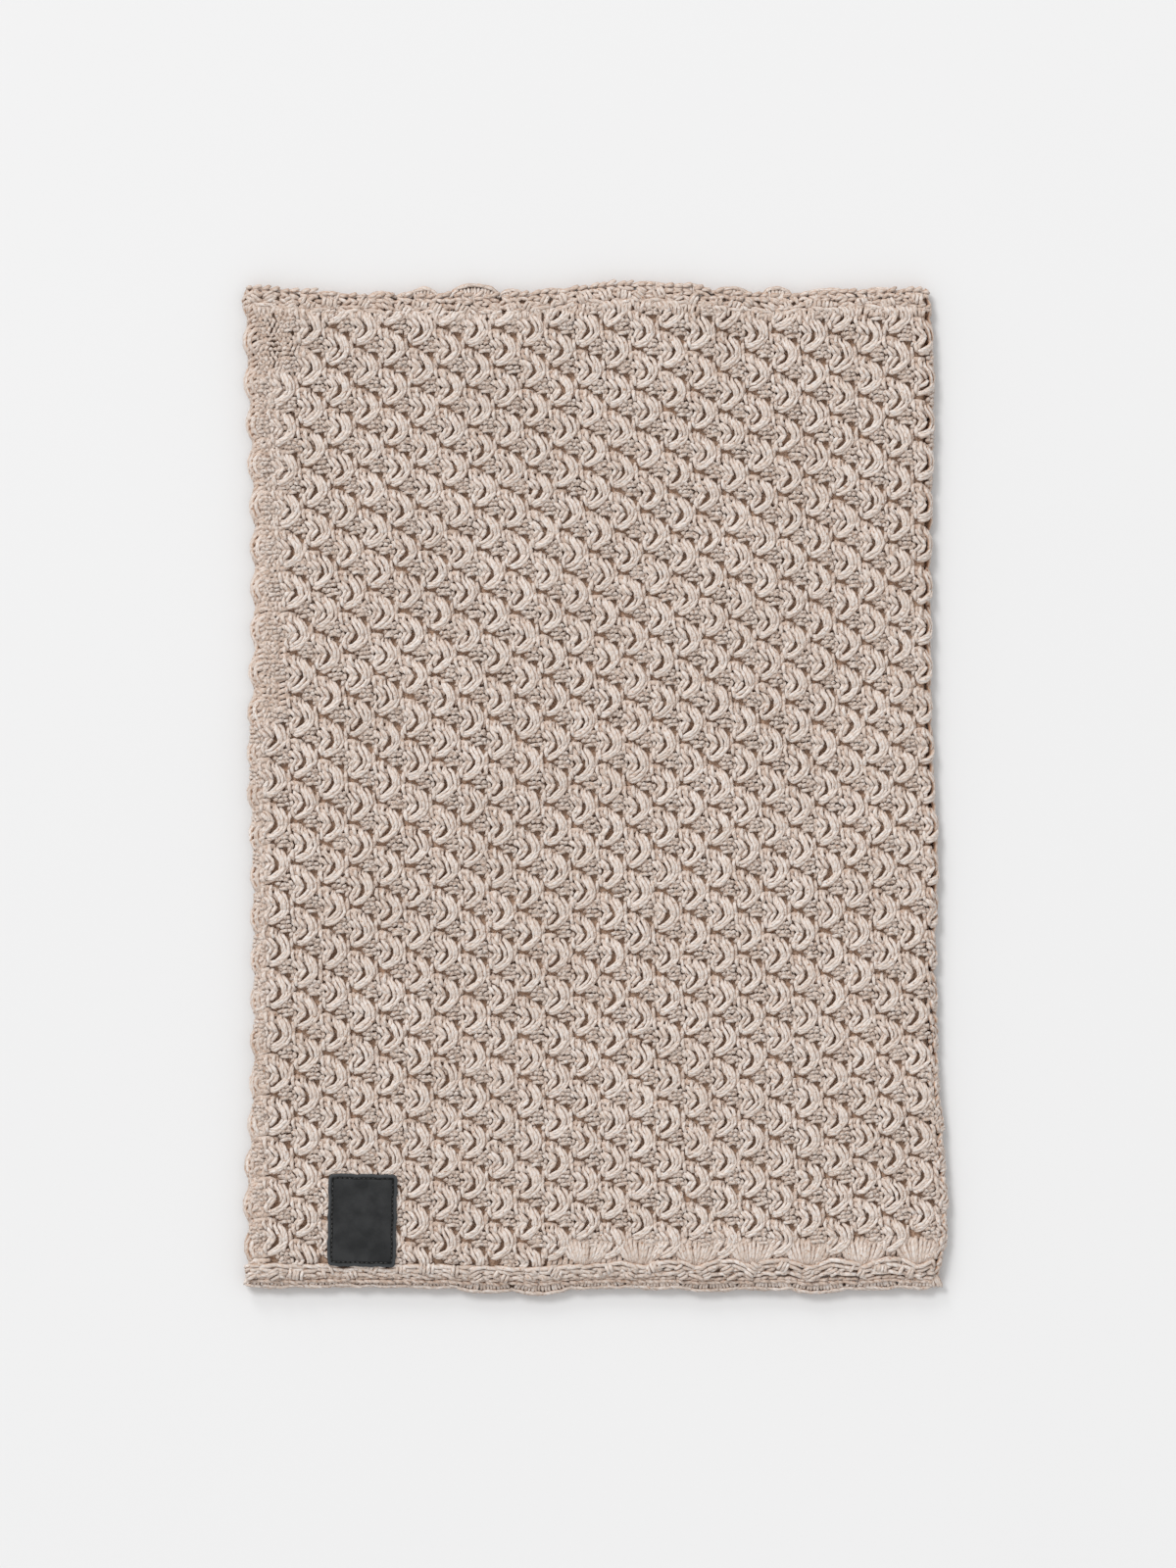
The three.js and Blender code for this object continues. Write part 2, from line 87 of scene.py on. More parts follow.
# The outline: the sides by height, and the edges of both layers at both open ends by place
SIDES = np.array([
    # height, left, right
    (-224.0, -156.8, 153.8), (-203.0, -155.8, 157.5), (-183.0, -156.6, 158.2), (-164.0, -155.3, 157.3),
    (-137.0, -153.8, 155.1), (-67.0, -153.2, 153.4), (-28.0, -153.3, 154.4), (3.0, -154.6, 152.7),
    (73.0, -153.3, 151.2), (143.0, -154.2, 152.0), (178.0, -155.8, 152.5), (226.0, -157.3, 151.4),
])
ENDS = np.array([
    # across, front top, back top, front foot, back foot
    (-158.0, 225.2, 224.2, -219.2, -222.4), (-135.0, 223.4, 222.4, -219.8, -223.0),
    (-112.0, 221.6, 220.8, -219.4, -222.6), (-78.0, 221.4, 224.4, -219.8, -223.4),
    (-51.0, 221.2, 225.8, -220.4, -224.8), (-25.0, 222.6, 222.0, -221.0, -225.6),
    (-3.0, 225.4, 224.0, -220.0, -223.4), (32.0, 226.2, 224.6, -220.2, -223.6),
    (56.0, 223.4, 222.6, -220.6, -224.4), (76.0, 221.6, 220.8, -220.2, -223.8),
    (98.0, 222.4, 221.4, -220.8, -225.0), (128.0, 223.6, 222.4, -220.0, -223.2),
    (158.0, 223.2, 222.2, -220.4, -223.6),
])
FRONT_TOP, BACK_TOP, FRONT_FOOT, BACK_FOOT = 1, 2, 3, 4
# Where the back's open edge stands past the front's, as domes: middle, half width, height
TOP_DOMES = ((-118.0, 5.0, 1.2), (-95.6, 4.8, 1.8), (-76.1, 5.6, 3.6), (-53.6, 10.4, 5.4), (-37.0, 4.6, 2.4),
             (-20.0, 6.0, 1.2), (24.0, 6.0, 1.0), (45.0, 5.0, 1.4), (62.8, 6.2, 2.4), (81.6, 6.0, 3.6),
             (103.5, 8.0, 1.8), (128.0, 6.0, 1.0))
FOOT_DOMES = ((-146.0, 12.0, 0.9), (-122.0, 13.0, 0.7), (-98.0, 13.0, 0.8), (-74.0, 13.0, 0.8),
              (-49.0, 12.5, 2.2), (-24.0, 13.0, 2.6), (1.0, 13.0, 1.0), (26.0, 13.0, 1.0), (51.0, 13.0, 1.6),
              (76.0, 13.0, 1.2), (100.0, 12.5, 2.2), (124.0, 12.5, 1.2), (146.0, 11.0, 0.8))

# One curl: its yarn, in steps right and down from the middle of the slit beside it, with the
# height above the ground in millimetres. A step is this many millimetres.
STEP = 0.4375
CURL_BAND = [
    # the three long strands of the upper half, out of the hollow above and round to the right
    dict(wide=1.00, thick=0.84, path=[
        (4.2, -19.6, 0.2), (4.0, -15.0, 1.5), (6.8, -11.4, 2.2), (9.2, -6.6, 2.4), (10.0, -1.0, 2.4),
        (9.2, 3.8, 1.7)]),
    dict(wide=1.02, thick=0.84, path=[
        (1.2, -20.2, 0.3), (0.8, -14.6, 2.0), (4.0, -9.8, 2.8), (6.2, -5.0, 3.0), (6.8, -0.2, 2.9),
        (6.2, 4.2, 1.9)]),
    dict(wide=0.98, thick=0.84, path=[
        (-1.8, -20.0, 0.4), (-2.4, -14.2, 2.1), (1.0, -8.8, 2.7), (3.2, -4.6, 2.8), (3.8, -0.2, 2.6),
        (3.2, 3.6, 1.8)]),
    # and of the lower half, from the right down to the raised tip at the lower left
    dict(wide=0.98, thick=0.86, path=[
        (10.4, -3.4, 1.5), (9.8, 1.6, 2.4), (7.4, 5.8, 2.7), (3.0, 10.0, 2.8), (-2.4, 13.4, 2.8),
        (-7.2, 15.0, 2.4), (-10.0, 14.6, 1.4)]),
    dict(wide=0.98, thick=0.86, path=[
        (7.4, -2.0, 1.7), (6.7, 2.2, 2.8), (4.2, 6.0, 3.1), (0.2, 9.6, 3.2), (-4.3, 12.3, 3.1),
        (-8.0, 13.3, 2.6), (-10.4, 13.0, 1.4)]),
    dict(wide=0.96, thick=0.86, path=[
        (4.5, -1.2, 1.6), (3.6, 2.3, 2.7), (1.2, 5.7, 3.0), (-2.5, 8.8, 3.1), (-6.0, 11.0, 2.8),
        (-8.6, 11.7, 2.3), (-10.4, 11.2, 1.4)]),
]
CURL_LEGS = [
    # the stitches left of the slit, in two columns, upper then lower
    dict(wide=1.07, path=[(-11.0, -13.0, 2.0), (-6.4, -8.2, 2.8), (-3.2, -4.4, 2.8), (-2.0, -0.6, 1.9)]),
    dict(wide=1.07, path=[(-1.8, -2.4, 2.1), (-3.4, 0.8, 2.8), (-6.2, 4.2, 2.8), (-8.8, 8.4, 1.8)]),
    dict(wide=1.10, path=[(-14.8, -11.0, 1.8), (-10.2, -6.4, 2.5), (-6.4, -1.6, 1.8)]),
    dict(wide=1.10, path=[(-6.6, -2.6, 1.9), (-8.8, 1.6, 2.5), (-12.2, 5.8, 1.7)]),
    dict(wide=1.09, path=[(-11.4, 2.6, 1.8), (-12.2, 8.4, 2.7), (-10.4, 14.6, 2.1)]),
    dict(wide=0.96, path=[(-7.6, 4.6, 1.7), (-8.6, 7.8, 2.3), (-9.0, 10.2, 1.5)]),
    # the stitches that rise out of the hollow to the top of the curl
    dict(wide=1.04, path=[(-13.4, -22.8, 0.5), (-14.8, -16.4, 2.7), (-12.6, -9.4, 1.9)]),
    dict(wide=1.00, path=[(-9.8, -23.0, 0.3), (-10.5, -18.8, 1.0), (-10.6, -14.2, 0.7)]),
    dict(wide=1.04, path=[(-6.0, -22.8, 0.5), (-7.2, -16.4, 2.7), (-4.4, -10.6, 1.9)]),
    dict(wide=1.05, path=[(12.4, -23.0, 0.6), (14.2, -17.4, 1.5), (14.0, -11.0, 0.9)]),
    dict(wide=1.05, path=[(-14.6, 7.4, 1.2), (-15.4, 13.0, 1.9), (-14.4, 19.0, 0.9)]),
]
CURL_FILL = [
    # thick strands lying deep, which close the gaps between the stitches
    dict(wide=1.65, path=[(-13.6, -11.0, 0.9), (-6.6, -3.6, 1.5), (-6.4, 0.4, 1.5), (-12.0, 9.6, 0.9)]),
    dict(wide=1.60, path=[(-30.0, -8.4, 0.9), (-21.0, -9.4, 1.2), (-13.4, -8.0, 0.9)]),
    dict(wide=1.60, path=[(-29.0, -1.6, 0.9), (-21.0, -2.6, 1.2), (-12.6, -1.4, 0.9)]),
    dict(wide=1.60, path=[(-17.4, -19.0, 0.5), (-9.0, -19.4, 0.7), (0.0, -18.6, 0.5)]),
    dict(wide=1.50, path=[(-13.0, -17.0, 1.1), (-7.6, -12.6, 1.4), (2.0, -11.0, 1.1)]),
    dict(wide=0.90, path=[(-4.4, -12.4, 1.1), (-0.8, -8.2, 1.6), (0.6, -4.4, 1.3)]),
    dict(wide=1.30, path=[(10.6, -9.6, 0.9), (12.6, -2.0, 1.3), (9.4, 8.6, 0.9)]),
]
HOLLOW_BUMPS = [
    # the back-facing stitches in the hollow, in short rows from the top down
    dict(wide=1.07, path=[(-28.6, -10.2, 1.3), (-26.2, -11.4, 2.2), (-24.0, -10.0, 1.3)]),
    dict(wide=1.09, path=[(-24.2, -10.2, 1.4), (-21.6, -11.8, 2.4), (-19.4, -10.4, 1.4)]),
    dict(wide=1.07, path=[(-19.6, -9.6, 1.4), (-17.4, -11.6, 2.4), (-15.2, -11.0, 1.4)]),
    dict(wide=1.07, path=[(-31.0, -6.0, 1.3), (-28.4, -7.4, 2.1), (-26.0, -6.2, 1.3)]),
    dict(wide=1.04, path=[(-26.2, -5.2, 1.5), (-23.6, -7.4, 2.7), (-21.2, -7.4, 1.5)]),
    dict(wide=1.04, path=[(-21.4, -5.4, 1.5), (-19.0, -7.4, 2.7), (-16.8, -7.0, 1.5)]),
    dict(wide=1.07, path=[(-29.6, -1.8, 1.2), (-27.2, -3.4, 2.1), (-25.0, -2.6, 1.4)]),
    dict(wide=1.10, path=[(-25.4, -0.6, 1.5), (-23.2, -3.2, 2.7), (-21.2, -3.6, 1.5)]),
    dict(wide=1.05, path=[(-19.4, -1.4, 1.4), (-17.4, -3.6, 2.5), (-15.2, -3.4, 1.4)]),
    dict(wide=1.09, path=[(-27.6, 2.6, 1.4), (-24.0, 1.2, 2.4), (-20.6, 0.8, 2.4), (-18.0, 0.9, 1.4)]),
    dict(wide=1.05, path=[(-19.0, 0.9, 1.4), (-16.4, 0.6, 2.4), (-13.8, 1.6, 1.4)]),
    dict(wide=1.05, path=[(-15.6, -7.4, 1.4), (-13.4, -5.6, 2.5), (-11.6, -3.6, 1.4)]),
    dict(wide=1.02, path=[(-13.4, -2.8, 1.4), (-12.2, -0.4, 2.4), (-13.2, 2.4, 1.4)]),
    dict(wide=1.02, path=[(-13.6, 2.6, 1.2), (-15.0, 4.8, 2.2), (-16.0, 7.2, 1.2)]),
]
# Points along each kind of strand, and sides round it
BAND_POINTS, LEG_POINTS, BUMP_POINTS = 8, 5, 5
BAND_SIDES, LEG_SIDES, BUMP_SIDES = 5, 5, 4
BACK_BAND_POINTS, BACK_LEG_POINTS, BACK_SIDES, BACK_WIDER = 5, 4, 3, 1.2
BACK_LEGS = CURL_LEGS[:6] + CURL_LEGS[8:11:2]
# Tones of the strands, from 0 for dark to 1 for light: random within each range, and the ranges are painted
# shade, low for the stitches in the hollow and high for the raised bands
BAND_LIT_TONES, LEG_TONES, BUMP_SHADED_TONES, ALL_TONES = (0.55, 1.0), (0.4, 1.0), (0.0, 0.6), (0.0, 1.0)
# How unevenly strands lie, how much they are pinched along their length, and how flat they are
STRAND_SHIFT, STRAND_BEND, STRAND_LIFT, PINCH = 0.20, 0.17, 0.16, 0.07
STRAND_SIZE, SIZE_ALONG, PATH_SIZE = (0.90, 1.08), (0.93, 1.06), (0.90, 1.10)
PATH_SHIFT, PATH_BEND = np.array([0.16, 0.16, 0.10]), np.array([0.08, 0.08, 0.05])
FRONT_LIFT, BACK_LIFT = (0.88, 1.08), (0.9, 1.1)
FLATNESS, END_CROWDING, LENGTH_START = 0.95, 0.9, (0, 90)
TINY = 1e-9

# Which part of the lattice is laid: its columns and rows, and how far from the sides curls stand
LATTICE_COLUMNS, LATTICE_ROWS = range(-9, 13), range(-26, 12)
FRONT_RIGHT, BACK_LEFT, BACK_RIGHT = 9.0, 8.2, -6.4
PLAIN_LEFT = np.array([
    # height, across of the first curls at the left
    (-230.0, -147.5), (24.0, -147.5), (34.0, -138.8), (180.0, -138.8), (186.0, -129.5), (230.0, -129.5)])
TOP_CURLS = 224.0
FOOT_CURLS = np.array([(-160.0, -214.0), (-30.0, -213.0), (40.0, -207.0), (160.0, -205.5)])
# Strands that would reach into an edging are crowded in front of it
TOP_EDGING, FOOT_EDGING, CROWDED, EDGING_SPARE = 8.2, 8.4, 0.2, 0.6
# Curls are left out well inside the label
LABEL_SHIFT, LABEL_COVER = 1.5, -8
FRONT_PIECES = (("front_knit_foot", -400, -132), ("front_knit_lower", -132, -46),
                ("front_knit_middle", -46, 40), ("front_knit_upper", 40, 124), ("front_knit_top", 124, 400))
BACK_PIECES = (("back_knit_lower", -400, 0), ("back_knit_upper", 0, 400))

# Edgings: where they start and end, a chain link's length, yarn widths, the ribs of the domes
TOP_START, TOP_END = -157.0, 148.4
FOOT_START, FOOT_END = -157.0, 155.0
BACK_START, BACK_END = -155.5, 146.5
LINK, EDGE_YARN, EDGE_THIN, FLOAT_YARN, RIB_PITCH = 3.9, 0.98, 0.96, 1.04, 1.65
# The lowest and the highest row of the lattice, which the edgings follow
FOOT_ROW, TOP_ROW = -203.0, 208.0
FAN_FROM, FAN_REACH, FAN_SPREAD = -10.0, 6, 2.0
# Side columns: spans in height and pitches of their stitches
SEAM_SPAN, SEAM_PITCH = (-217.0, 221.0), 2.9
CLOSING_SPAN, RIGHT_SPAN, BRAID_SPAN, BRAID_PITCH = (-214.0, 216.0), (-215.0, 218.0), (-214.0, -124.0), 3.3
PURL_SPAN, PURL_UP, PURL_ACROSS = (-216.0, 218.0), 2.15, 2.05
DEEP_YARN, DEEP_PITCH = 1.5, 2.6

# The cloth tube under the yarn
TUBE_ROWS, TUBE_COLUMNS, TUBE_INSET, TUBE_TURN = 50, 90, 3.0, 4.6
TUBE_FOOT, TUBE_HEIGHT = -216, 433
TUBE_FRONT_DOWN, TUBE_BACK_UP = -0.6, 0.7

# The label: its grid, rounded edge, groove with its seam, and the stitches of the seam
LABEL_COLUMNS, LABEL_ROWS = 44, 60
LABEL_EDGE, LABEL_EDGE_DROP, LABEL_TOP_SPARE, LABEL_FOOT_SPARE = 0.7, 0.7, 0.25, 0.05
SEAM_INSET, GROOVE_DEEP, GROOVE_WIDE = 1.9, 0.45, 0.36
THREAD_PITCH, THREAD_LONG, THREAD_WIDE, THREAD_DOWN, THREAD_ARCH = 2.1, 1.7, 0.24, 0.62, (-0.25, 0.14, -0.25)

rng = np.random.default_rng(41)


# Smooth curve through a table's column, by its first column
def along(table, column, at):
    places, values = table[:, 0], table[:, column]
    at = np.clip(at, places[0], places[-1])
    i = np.clip(np.searchsorted(places, at) - 1, 0, len(places) - 2)
    slopes = np.gradient(values, places)
    span = places[i + 1] - places[i]
    t = (at - places[i]) / span
    return ((2 * t**3 - 3 * t**2 + 1) * values[i] + (t**3 - 2 * t**2 + t) * span * slopes[i]
            + (3 * t**2 - 2 * t**3) * values[i + 1] + (t**3 - t**2) * span * slopes[i + 1])


# Smooth curve across the scarf through the three places where the lattice was measured
def across_three(x, values):
    x = np.clip(x, -150, 150)
    a, b, c = WANDER_AT
    left, middle, right = values
    return (left * (x - b) * (x - c) / ((a - b) * (a - c)) + middle * (x - a) * (x - c) / ((b - a) * (b - c))
            + right * (x - a) * (x - b) / ((c - a) * (c - b)))


# Where points of the even lattice lie on the laid cloth, found in a few rounds
def on_cloth(x0, y0, rounds=6):
    x, y = x0, y0
    for _ in range(rounds):
        right = across_three(x, [along(WANDER, k, y) for k in (1, 2, 3)])
        up = across_three(x, [along(WANDER, k, y) for k in (4, 5, 6)])
        x, y = x0 + right, y0 + up
    return x, y


# Rises smoothly from 0 at low to 1 at high
def smooth(low, high, x):
    t = np.clip((x - low) / (high - low), 0, 1)
    return t * t * (3 - 2 * t)


# Distance outside the label's outline, less than 0 inside it
def outside_label(x, y):
    dx, dy = x - LABEL["across"], y - LABEL["up"]
    u = np.abs(dx * math.cos(LABEL_TURN) + dy * math.sin(LABEL_TURN)) - LABEL["width"] / 2
    v = np.abs(dy * math.cos(LABEL_TURN) - dx * math.sin(LABEL_TURN)) - LABEL["height"] / 2
    return np.hypot(np.maximum(u, 0), np.maximum(v, 0)) + np.minimum(np.maximum(u, v), 0)


# How far the left fold bulges beside each curl, from 0 to 1
def scallop(y):
    return 0.5 + 0.5 * np.cos(2 * math.pi * (y - SCALLOP_AT) / SCALLOP_PITCH)


# Sum of waves along a line, each given by its height, pitch and phase
def waves(t, *terms):
    return sum(high * np.sin(t / pitch + phase) for high, pitch, phase in terms)


# Soft rise and fall of the laid cloth
def swell(x, y):
    return (0.30 * np.sin(x / 31 + y / 120) + 0.25 * np.sin(y / 43 - x / 90)
            + 0.18 * np.sin(x / 11 - y / 17) * np.sin(y / 23 + 1.3))


# Lays points of the front, at a height above its ground, and folds them round both sides.
# Gives the points and the way that the cloth faces there.
def lay_front(x, y, h):
    ground = FRONT_GROUND + swell(x, y)
    ends = np.minimum(along(ENDS, FRONT_TOP, x) - y, y - along(ENDS, FRONT_FOOT, x))
    ground = ground - EDGE_DROP * (1 - smooth(*DROP_OVER, ends))
    beside_label = outside_label(x, y)
    h = RELIEF * h * (1 - LABEL_PRESS * (1 - smooth(*PRESS_OVER, beside_label)))
    h = np.minimum(h, LABEL_UNDER + BESIDE_RISE * smooth(*RISE_OVER, beside_label) - ground)
    lower = FRONT_GROUND - ground
    left = along(SIDES, 1, y) + FOLD_REACH - lower - SCALLOP * scallop(y)
    right = along(SIDES, 2, y) - FOLD_REACH + lower
    over = np.where(x > right, x - right, np.where(x < left, left - x, 0))
    way = np.where(x > right, 1.0, -1.0)
    turn = np.minimum(over / FOLD_ARC, FOLD_TURN)
    radius = ground - FOLD_CENTRE
    hinge = np.where(x > right, right, left)
    folded = over > 0
    place = np.stack([
        np.where(folded, hinge + way * (radius + h) * np.sin(turn), x),
        y,
        np.where(folded, FOLD_CENTRE + (radius + h) * np.cos(turn), ground + h),
    ], -1)
    facing = np.stack([np.where(folded, way * np.sin(turn), 0.0), np.zeros_like(x),
                       np.where(folded, np.cos(turn), 1.0)], -1)
    return place, facing


# Lays points flat at their heights, facing up or down
def lay_flat(x, y, z, way):
    return np.stack([x, y, z], -1), np.stack([np.zeros_like(x), np.zeros_like(x), way * np.ones_like(x)], -1)


# Lays points of the back, whose outer side faces the floor
def lay_back(x, y, h):
    return lay_flat(x, y, BACK_GROUND - BACK_FLATNESS * h, -1.0)


# Lays the open edges of the back layer, which show past the front's
def lay_under(x, y, h):
    return lay_flat(x, y, BACK_GROUND + OPEN_EDGE_UP + h, 1.0)


# Smooth line through a few points, with a given number of points on it
def resampled(path, count):
    path = np.asarray(path, float)
    many = path.shape[-2]
    before = 2 * path[..., :1, :] - path[..., 1:2, :]
    after = 2 * path[..., -1:, :] - path[..., -2:-1, :]
    padded = np.concatenate([before, path, after], axis=-2)
    share = np.linspace(0, 1, count)
    share = share + END_CROWDING * (0.5 - 0.5 * np.cos(math.pi * share) - share)
    at = share * (many - 1)
    i = np.minimum(at.astype(int), many - 2)
    t = (at - i)[:, None]
    a, b, c, d = (padded[..., i + k, :] for k in range(4))
    return 0.5 * (2 * b + (c - a) * t + (2 * a - 5 * b + 4 * c - d) * t**2 + (3 * b - 3 * c + d - a) * t**3)


# Yarn gathered into one mesh: closed strands, pointed at both ends, with their length and turn
# as UV and for each point the strand's tone and how deep it lies in the knit, which the material reads for
# painted shade
class Yarn:
    def __init__(self):
        self.points, self.corners, self.starts, self.uv = [], [], [], []
        self.tones, self.depths = [], []
        self.count, self.loops = 0, 0

    def add_faces(self, corners, uv):
        many, size = corners.shape
        self.starts.append(self.loops + np.arange(many) * size)
        self.corners.append(corners.reshape(-1))
        self.uv.append(uv.reshape(-1, 2))
        self.loops += many * size

    # lines: strands x points x 3, facing the same; radii and heights strands x points
    def add(self, lines, facing, wide, thick, heights, sides, tone=None):
        m, n = lines.shape[:2]
        if m == 0:
            return
        tangent = np.gradient(lines, axis=1)
        tangent /= np.linalg.norm(tangent, axis=-1, keepdims=True) + TINY
        across = np.cross(tangent, facing)
        across /= np.linalg.norm(across, axis=-1, keepdims=True) + TINY
        up = np.cross(across, tangent)
        turn = 2 * math.pi * (np.arange(sides) + 0.5) / sides
        ring = (lines[:, :, None] + across[:, :, None] * (wide[:, :, None] * np.cos(turn))[..., None]
                + up[:, :, None] * (thick[:, :, None] * np.sin(turn))[..., None])[:, 1:-1]
        depth = (heights[:, :, None] + thick[:, :, None] * np.sin(turn))[:, 1:-1]
        rings = n - 2
        index = self.count + np.arange(m * rings * sides).reshape(m, rings, sides)
        tips = self.count + m * rings * sides + np.arange(2 * m).reshape(2, m, 1)
        tips = np.broadcast_to(tips, (2, m, sides))
        points = np.concatenate([ring.reshape(-1, 3), lines[:, 0], lines[:, -1]])
        points[:, 2] = np.maximum(points[:, 2], FLOOR_CLEAR)
        self.points.append(points)
        self.depths.append(np.concatenate([depth.reshape(-1), heights[:, 0], heights[:, -1]]) / DEEPEST)
        tone = rng.uniform(0, 1, m) if tone is None else tone
        self.tones += [np.repeat(tone, rings * sides), tone, tone]
        self.count += len(points)

        length = np.concatenate([np.zeros((m, 1)), np.cumsum(
            np.linalg.norm(np.diff(lines, axis=1), axis=-1), axis=1)], axis=1)
        length = length + rng.uniform(*LENGTH_START, (m, 1))
        after = np.roll(index, -1, axis=2)
        u = np.broadcast_to(length[:, :, None], (m, n, sides))
        v = np.broadcast_to((np.arange(sides) + 0.5) / sides, (m, n, sides))
        here, there = np.stack([u, v], -1), np.stack([u, v + 1 / sides], -1)
        between = np.stack([u, v + 0.5 / sides], -1)
        quads = np.stack([index[:, :-1], index[:, 1:], after[:, 1:], after[:, :-1]], -1)
        quad_uv = np.stack([here[:, 1:-2], here[:, 2:-1], there[:, 2:-1], there[:, 1:-2]], -2)
        self.add_faces(quads.reshape(-1, 4), quad_uv)
        first = np.stack([tips[0], index[:, 0], after[:, 0]], -1)
        self.add_faces(first.reshape(-1, 3), np.stack([between[:, 0], here[:, 1], there[:, 1]], -2))
        last = np.stack([index[:, -1], tips[1], after[:, -1]], -1)
        self.add_faces(last.reshape(-1, 3), np.stack([here[:, -2], between[:, -1], there[:, -2]], -2))

    def piece(self, name, material):
        points = np.concatenate(self.points) * MM + PLAN_OFFSET
        mesh = mesh_of(name, points, np.concatenate(self.corners), np.concatenate(self.starts))
        layer = mesh.uv_layers.new(name="Strand")
        layer.data.foreach_set("uv", np.concatenate(self.uv).astype(np.float32).ravel())
        tone = mesh.attributes.new("tone", "FLOAT", "POINT")
        tone.data.foreach_set("value", np.concatenate(self.tones).astype(np.float32))
        depth = mesh.attributes.new("depth", "FLOAT", "POINT")
        depth.data.foreach_set("value", np.clip(np.concatenate(self.depths), 0, 1).astype(np.float32))
        return piece_of(name, mesh, material)


def mesh_of(name, points, corners, starts):
    mesh = bpy.data.meshes.new(name)
    mesh.vertices.add(len(points))
    mesh.vertices.foreach_set("co", np.asarray(points, np.float32).ravel())
    mesh.loops.add(len(corners))
    mesh.loops.foreach_set("vertex_index", corners.astype(np.int32))
    mesh.polygons.add(len(starts))
    mesh.polygons.foreach_set("loop_start", starts.astype(np.int32))
    mesh.polygons.foreach_set("use_smooth", np.ones(len(starts), bool))
    mesh.update(calc_edges=True)
    mesh.validate()
    return mesh


def piece_of(name, mesh, material):
    piece = bpy.data.objects.new(name, mesh)
    bpy.context.scene.collection.objects.link(piece)
    mesh.materials.append(material)
    return piece


# How thick a strand is from one end to the other: drawn in where it dips under its neighbours
def tapered(count, ends=0.62):
    t = -np.cos(math.pi * np.linspace(0, 1, count))
    return ends + (1 - ends) * (1 - np.abs(t) ** 3)


# Slits of all curls: their places in the even lattice, and across and up on the cloth
def curl_centres(left_margin, right_margin):
    places = np.array([(CURL_ANCHOR[0] + (m + half) * REPEAT_ACROSS, CURL_ANCHOR[1] + (n + half) * REPEAT_UP)
                       for half in (0.0, 0.5) for m in LATTICE_COLUMNS for n in LATTICE_ROWS])
    x, y = on_cloth(places[:, 0], places[:, 1])
    keep = (x < along(SIDES, 2, y) + right_margin) & (y < TOP_CURLS) & (y > along(FOOT_CURLS, 1, x))
    if left_margin is None:
        keep &= x > np.interp(y, PLAIN_LEFT[:, 0], PLAIN_LEFT[:, 1])
    else:
        keep &= x > along(SIDES, 1, y) + left_margin
    return places[keep], x[keep], y[keep]


# Adds one strand of the curl at each place, unevenly as knitted yarn lies
def add_strand(yarn, places, lift, strand, count, sides, lay, tones=ALL_TONES, wider=1.0):
    path = resampled(strand["path"], count)
    m = len(places)
    shift = rng.normal(0, STRAND_SHIFT, (m, 1, 2))
    bend = rng.normal(0, STRAND_BEND, (m, count, 2))
    x0 = places[:, None, 0] + path[None, :, 0] * STEP + shift[..., 0] + bend[..., 0]
    y0 = places[:, None, 1] - path[None, :, 1] * STEP + shift[..., 1] + bend[..., 1]
    h = path[None, :, 2] * lift[:, None] + rng.normal(0, STRAND_LIFT, (m, 1))
    x, y = on_cloth(x0, y0)
    top, foot = along(ENDS, FRONT_TOP, x) - TOP_EDGING, along(ENDS, FRONT_FOOT, x) + FOOT_EDGING
    inside = (np.mean(y - top, axis=1) < EDGING_SPARE) & (np.mean(foot - y, axis=1) < EDGING_SPARE)
    y = np.where(y > top, top + CROWDED * (y - top), np.where(y < foot, foot + CROWDED * (y - foot), y))
    x, y, h = x[inside], y[inside], h[inside]
    m = len(x)
    lines, facing = lay(x, y, h)
    size = tapered(count)[None, :] * rng.uniform(*STRAND_SIZE, (m, 1)) * rng.uniform(*SIZE_ALONG, (m, count))
    pinch = rng.choice([-1.0, 1.0], (m, 1)) * np.cos(math.pi * np.arange(count))[None, :]
    size = size * (1 + PINCH * pinch) * wider
    thick = strand.get("thick", strand["wide"] * FLATNESS)
    yarn.add(lines, facing, strand["wide"] * size, thick * size, h * np.ones_like(size), sides,
             rng.uniform(*tones, m))


# Adds strands given by a few points each, in millimetres of the plan with their heights; deep is added to
# the depth that their painted shade is read from
def add_paths(yarn, paths, wide, points=5, sides=5, lay=lay_front, uneven=1.0, tone=None, deep=0.0):
    lines = resampled(paths, points)
    m = len(lines)
    lines = lines + rng.normal(0, 1, (m, 1, 3)) * PATH_SHIFT * uneven
    lines = lines + rng.normal(0, 1, (m, points, 3)) * PATH_BEND * uneven
    places, facing = lay(lines[..., 0], lines[..., 1], lines[..., 2])
    size = wide * tapered(points)[None, :] * rng.uniform(*PATH_SIZE, (m, 1)) * np.ones((m, points))
    yarn.add(places, facing, size, size * FLATNESS, lines[..., 2] + deep, sides, tone)


# Paths moved to many places: one short table of (right, up, height) laid at each x and y
def stamped(x, y, table):
    table = np.array(table, float)
    x, y = np.broadcast_arrays(np.asarray(x, float).reshape(-1), np.asarray(y, float).reshape(-1))
    right = x[:, None] + table[None, :, 0]
    up = y[:, None] + table[None, :, 1]
    return np.stack([right, up, np.broadcast_to(table[None, :, 2], right.shape)], -1)


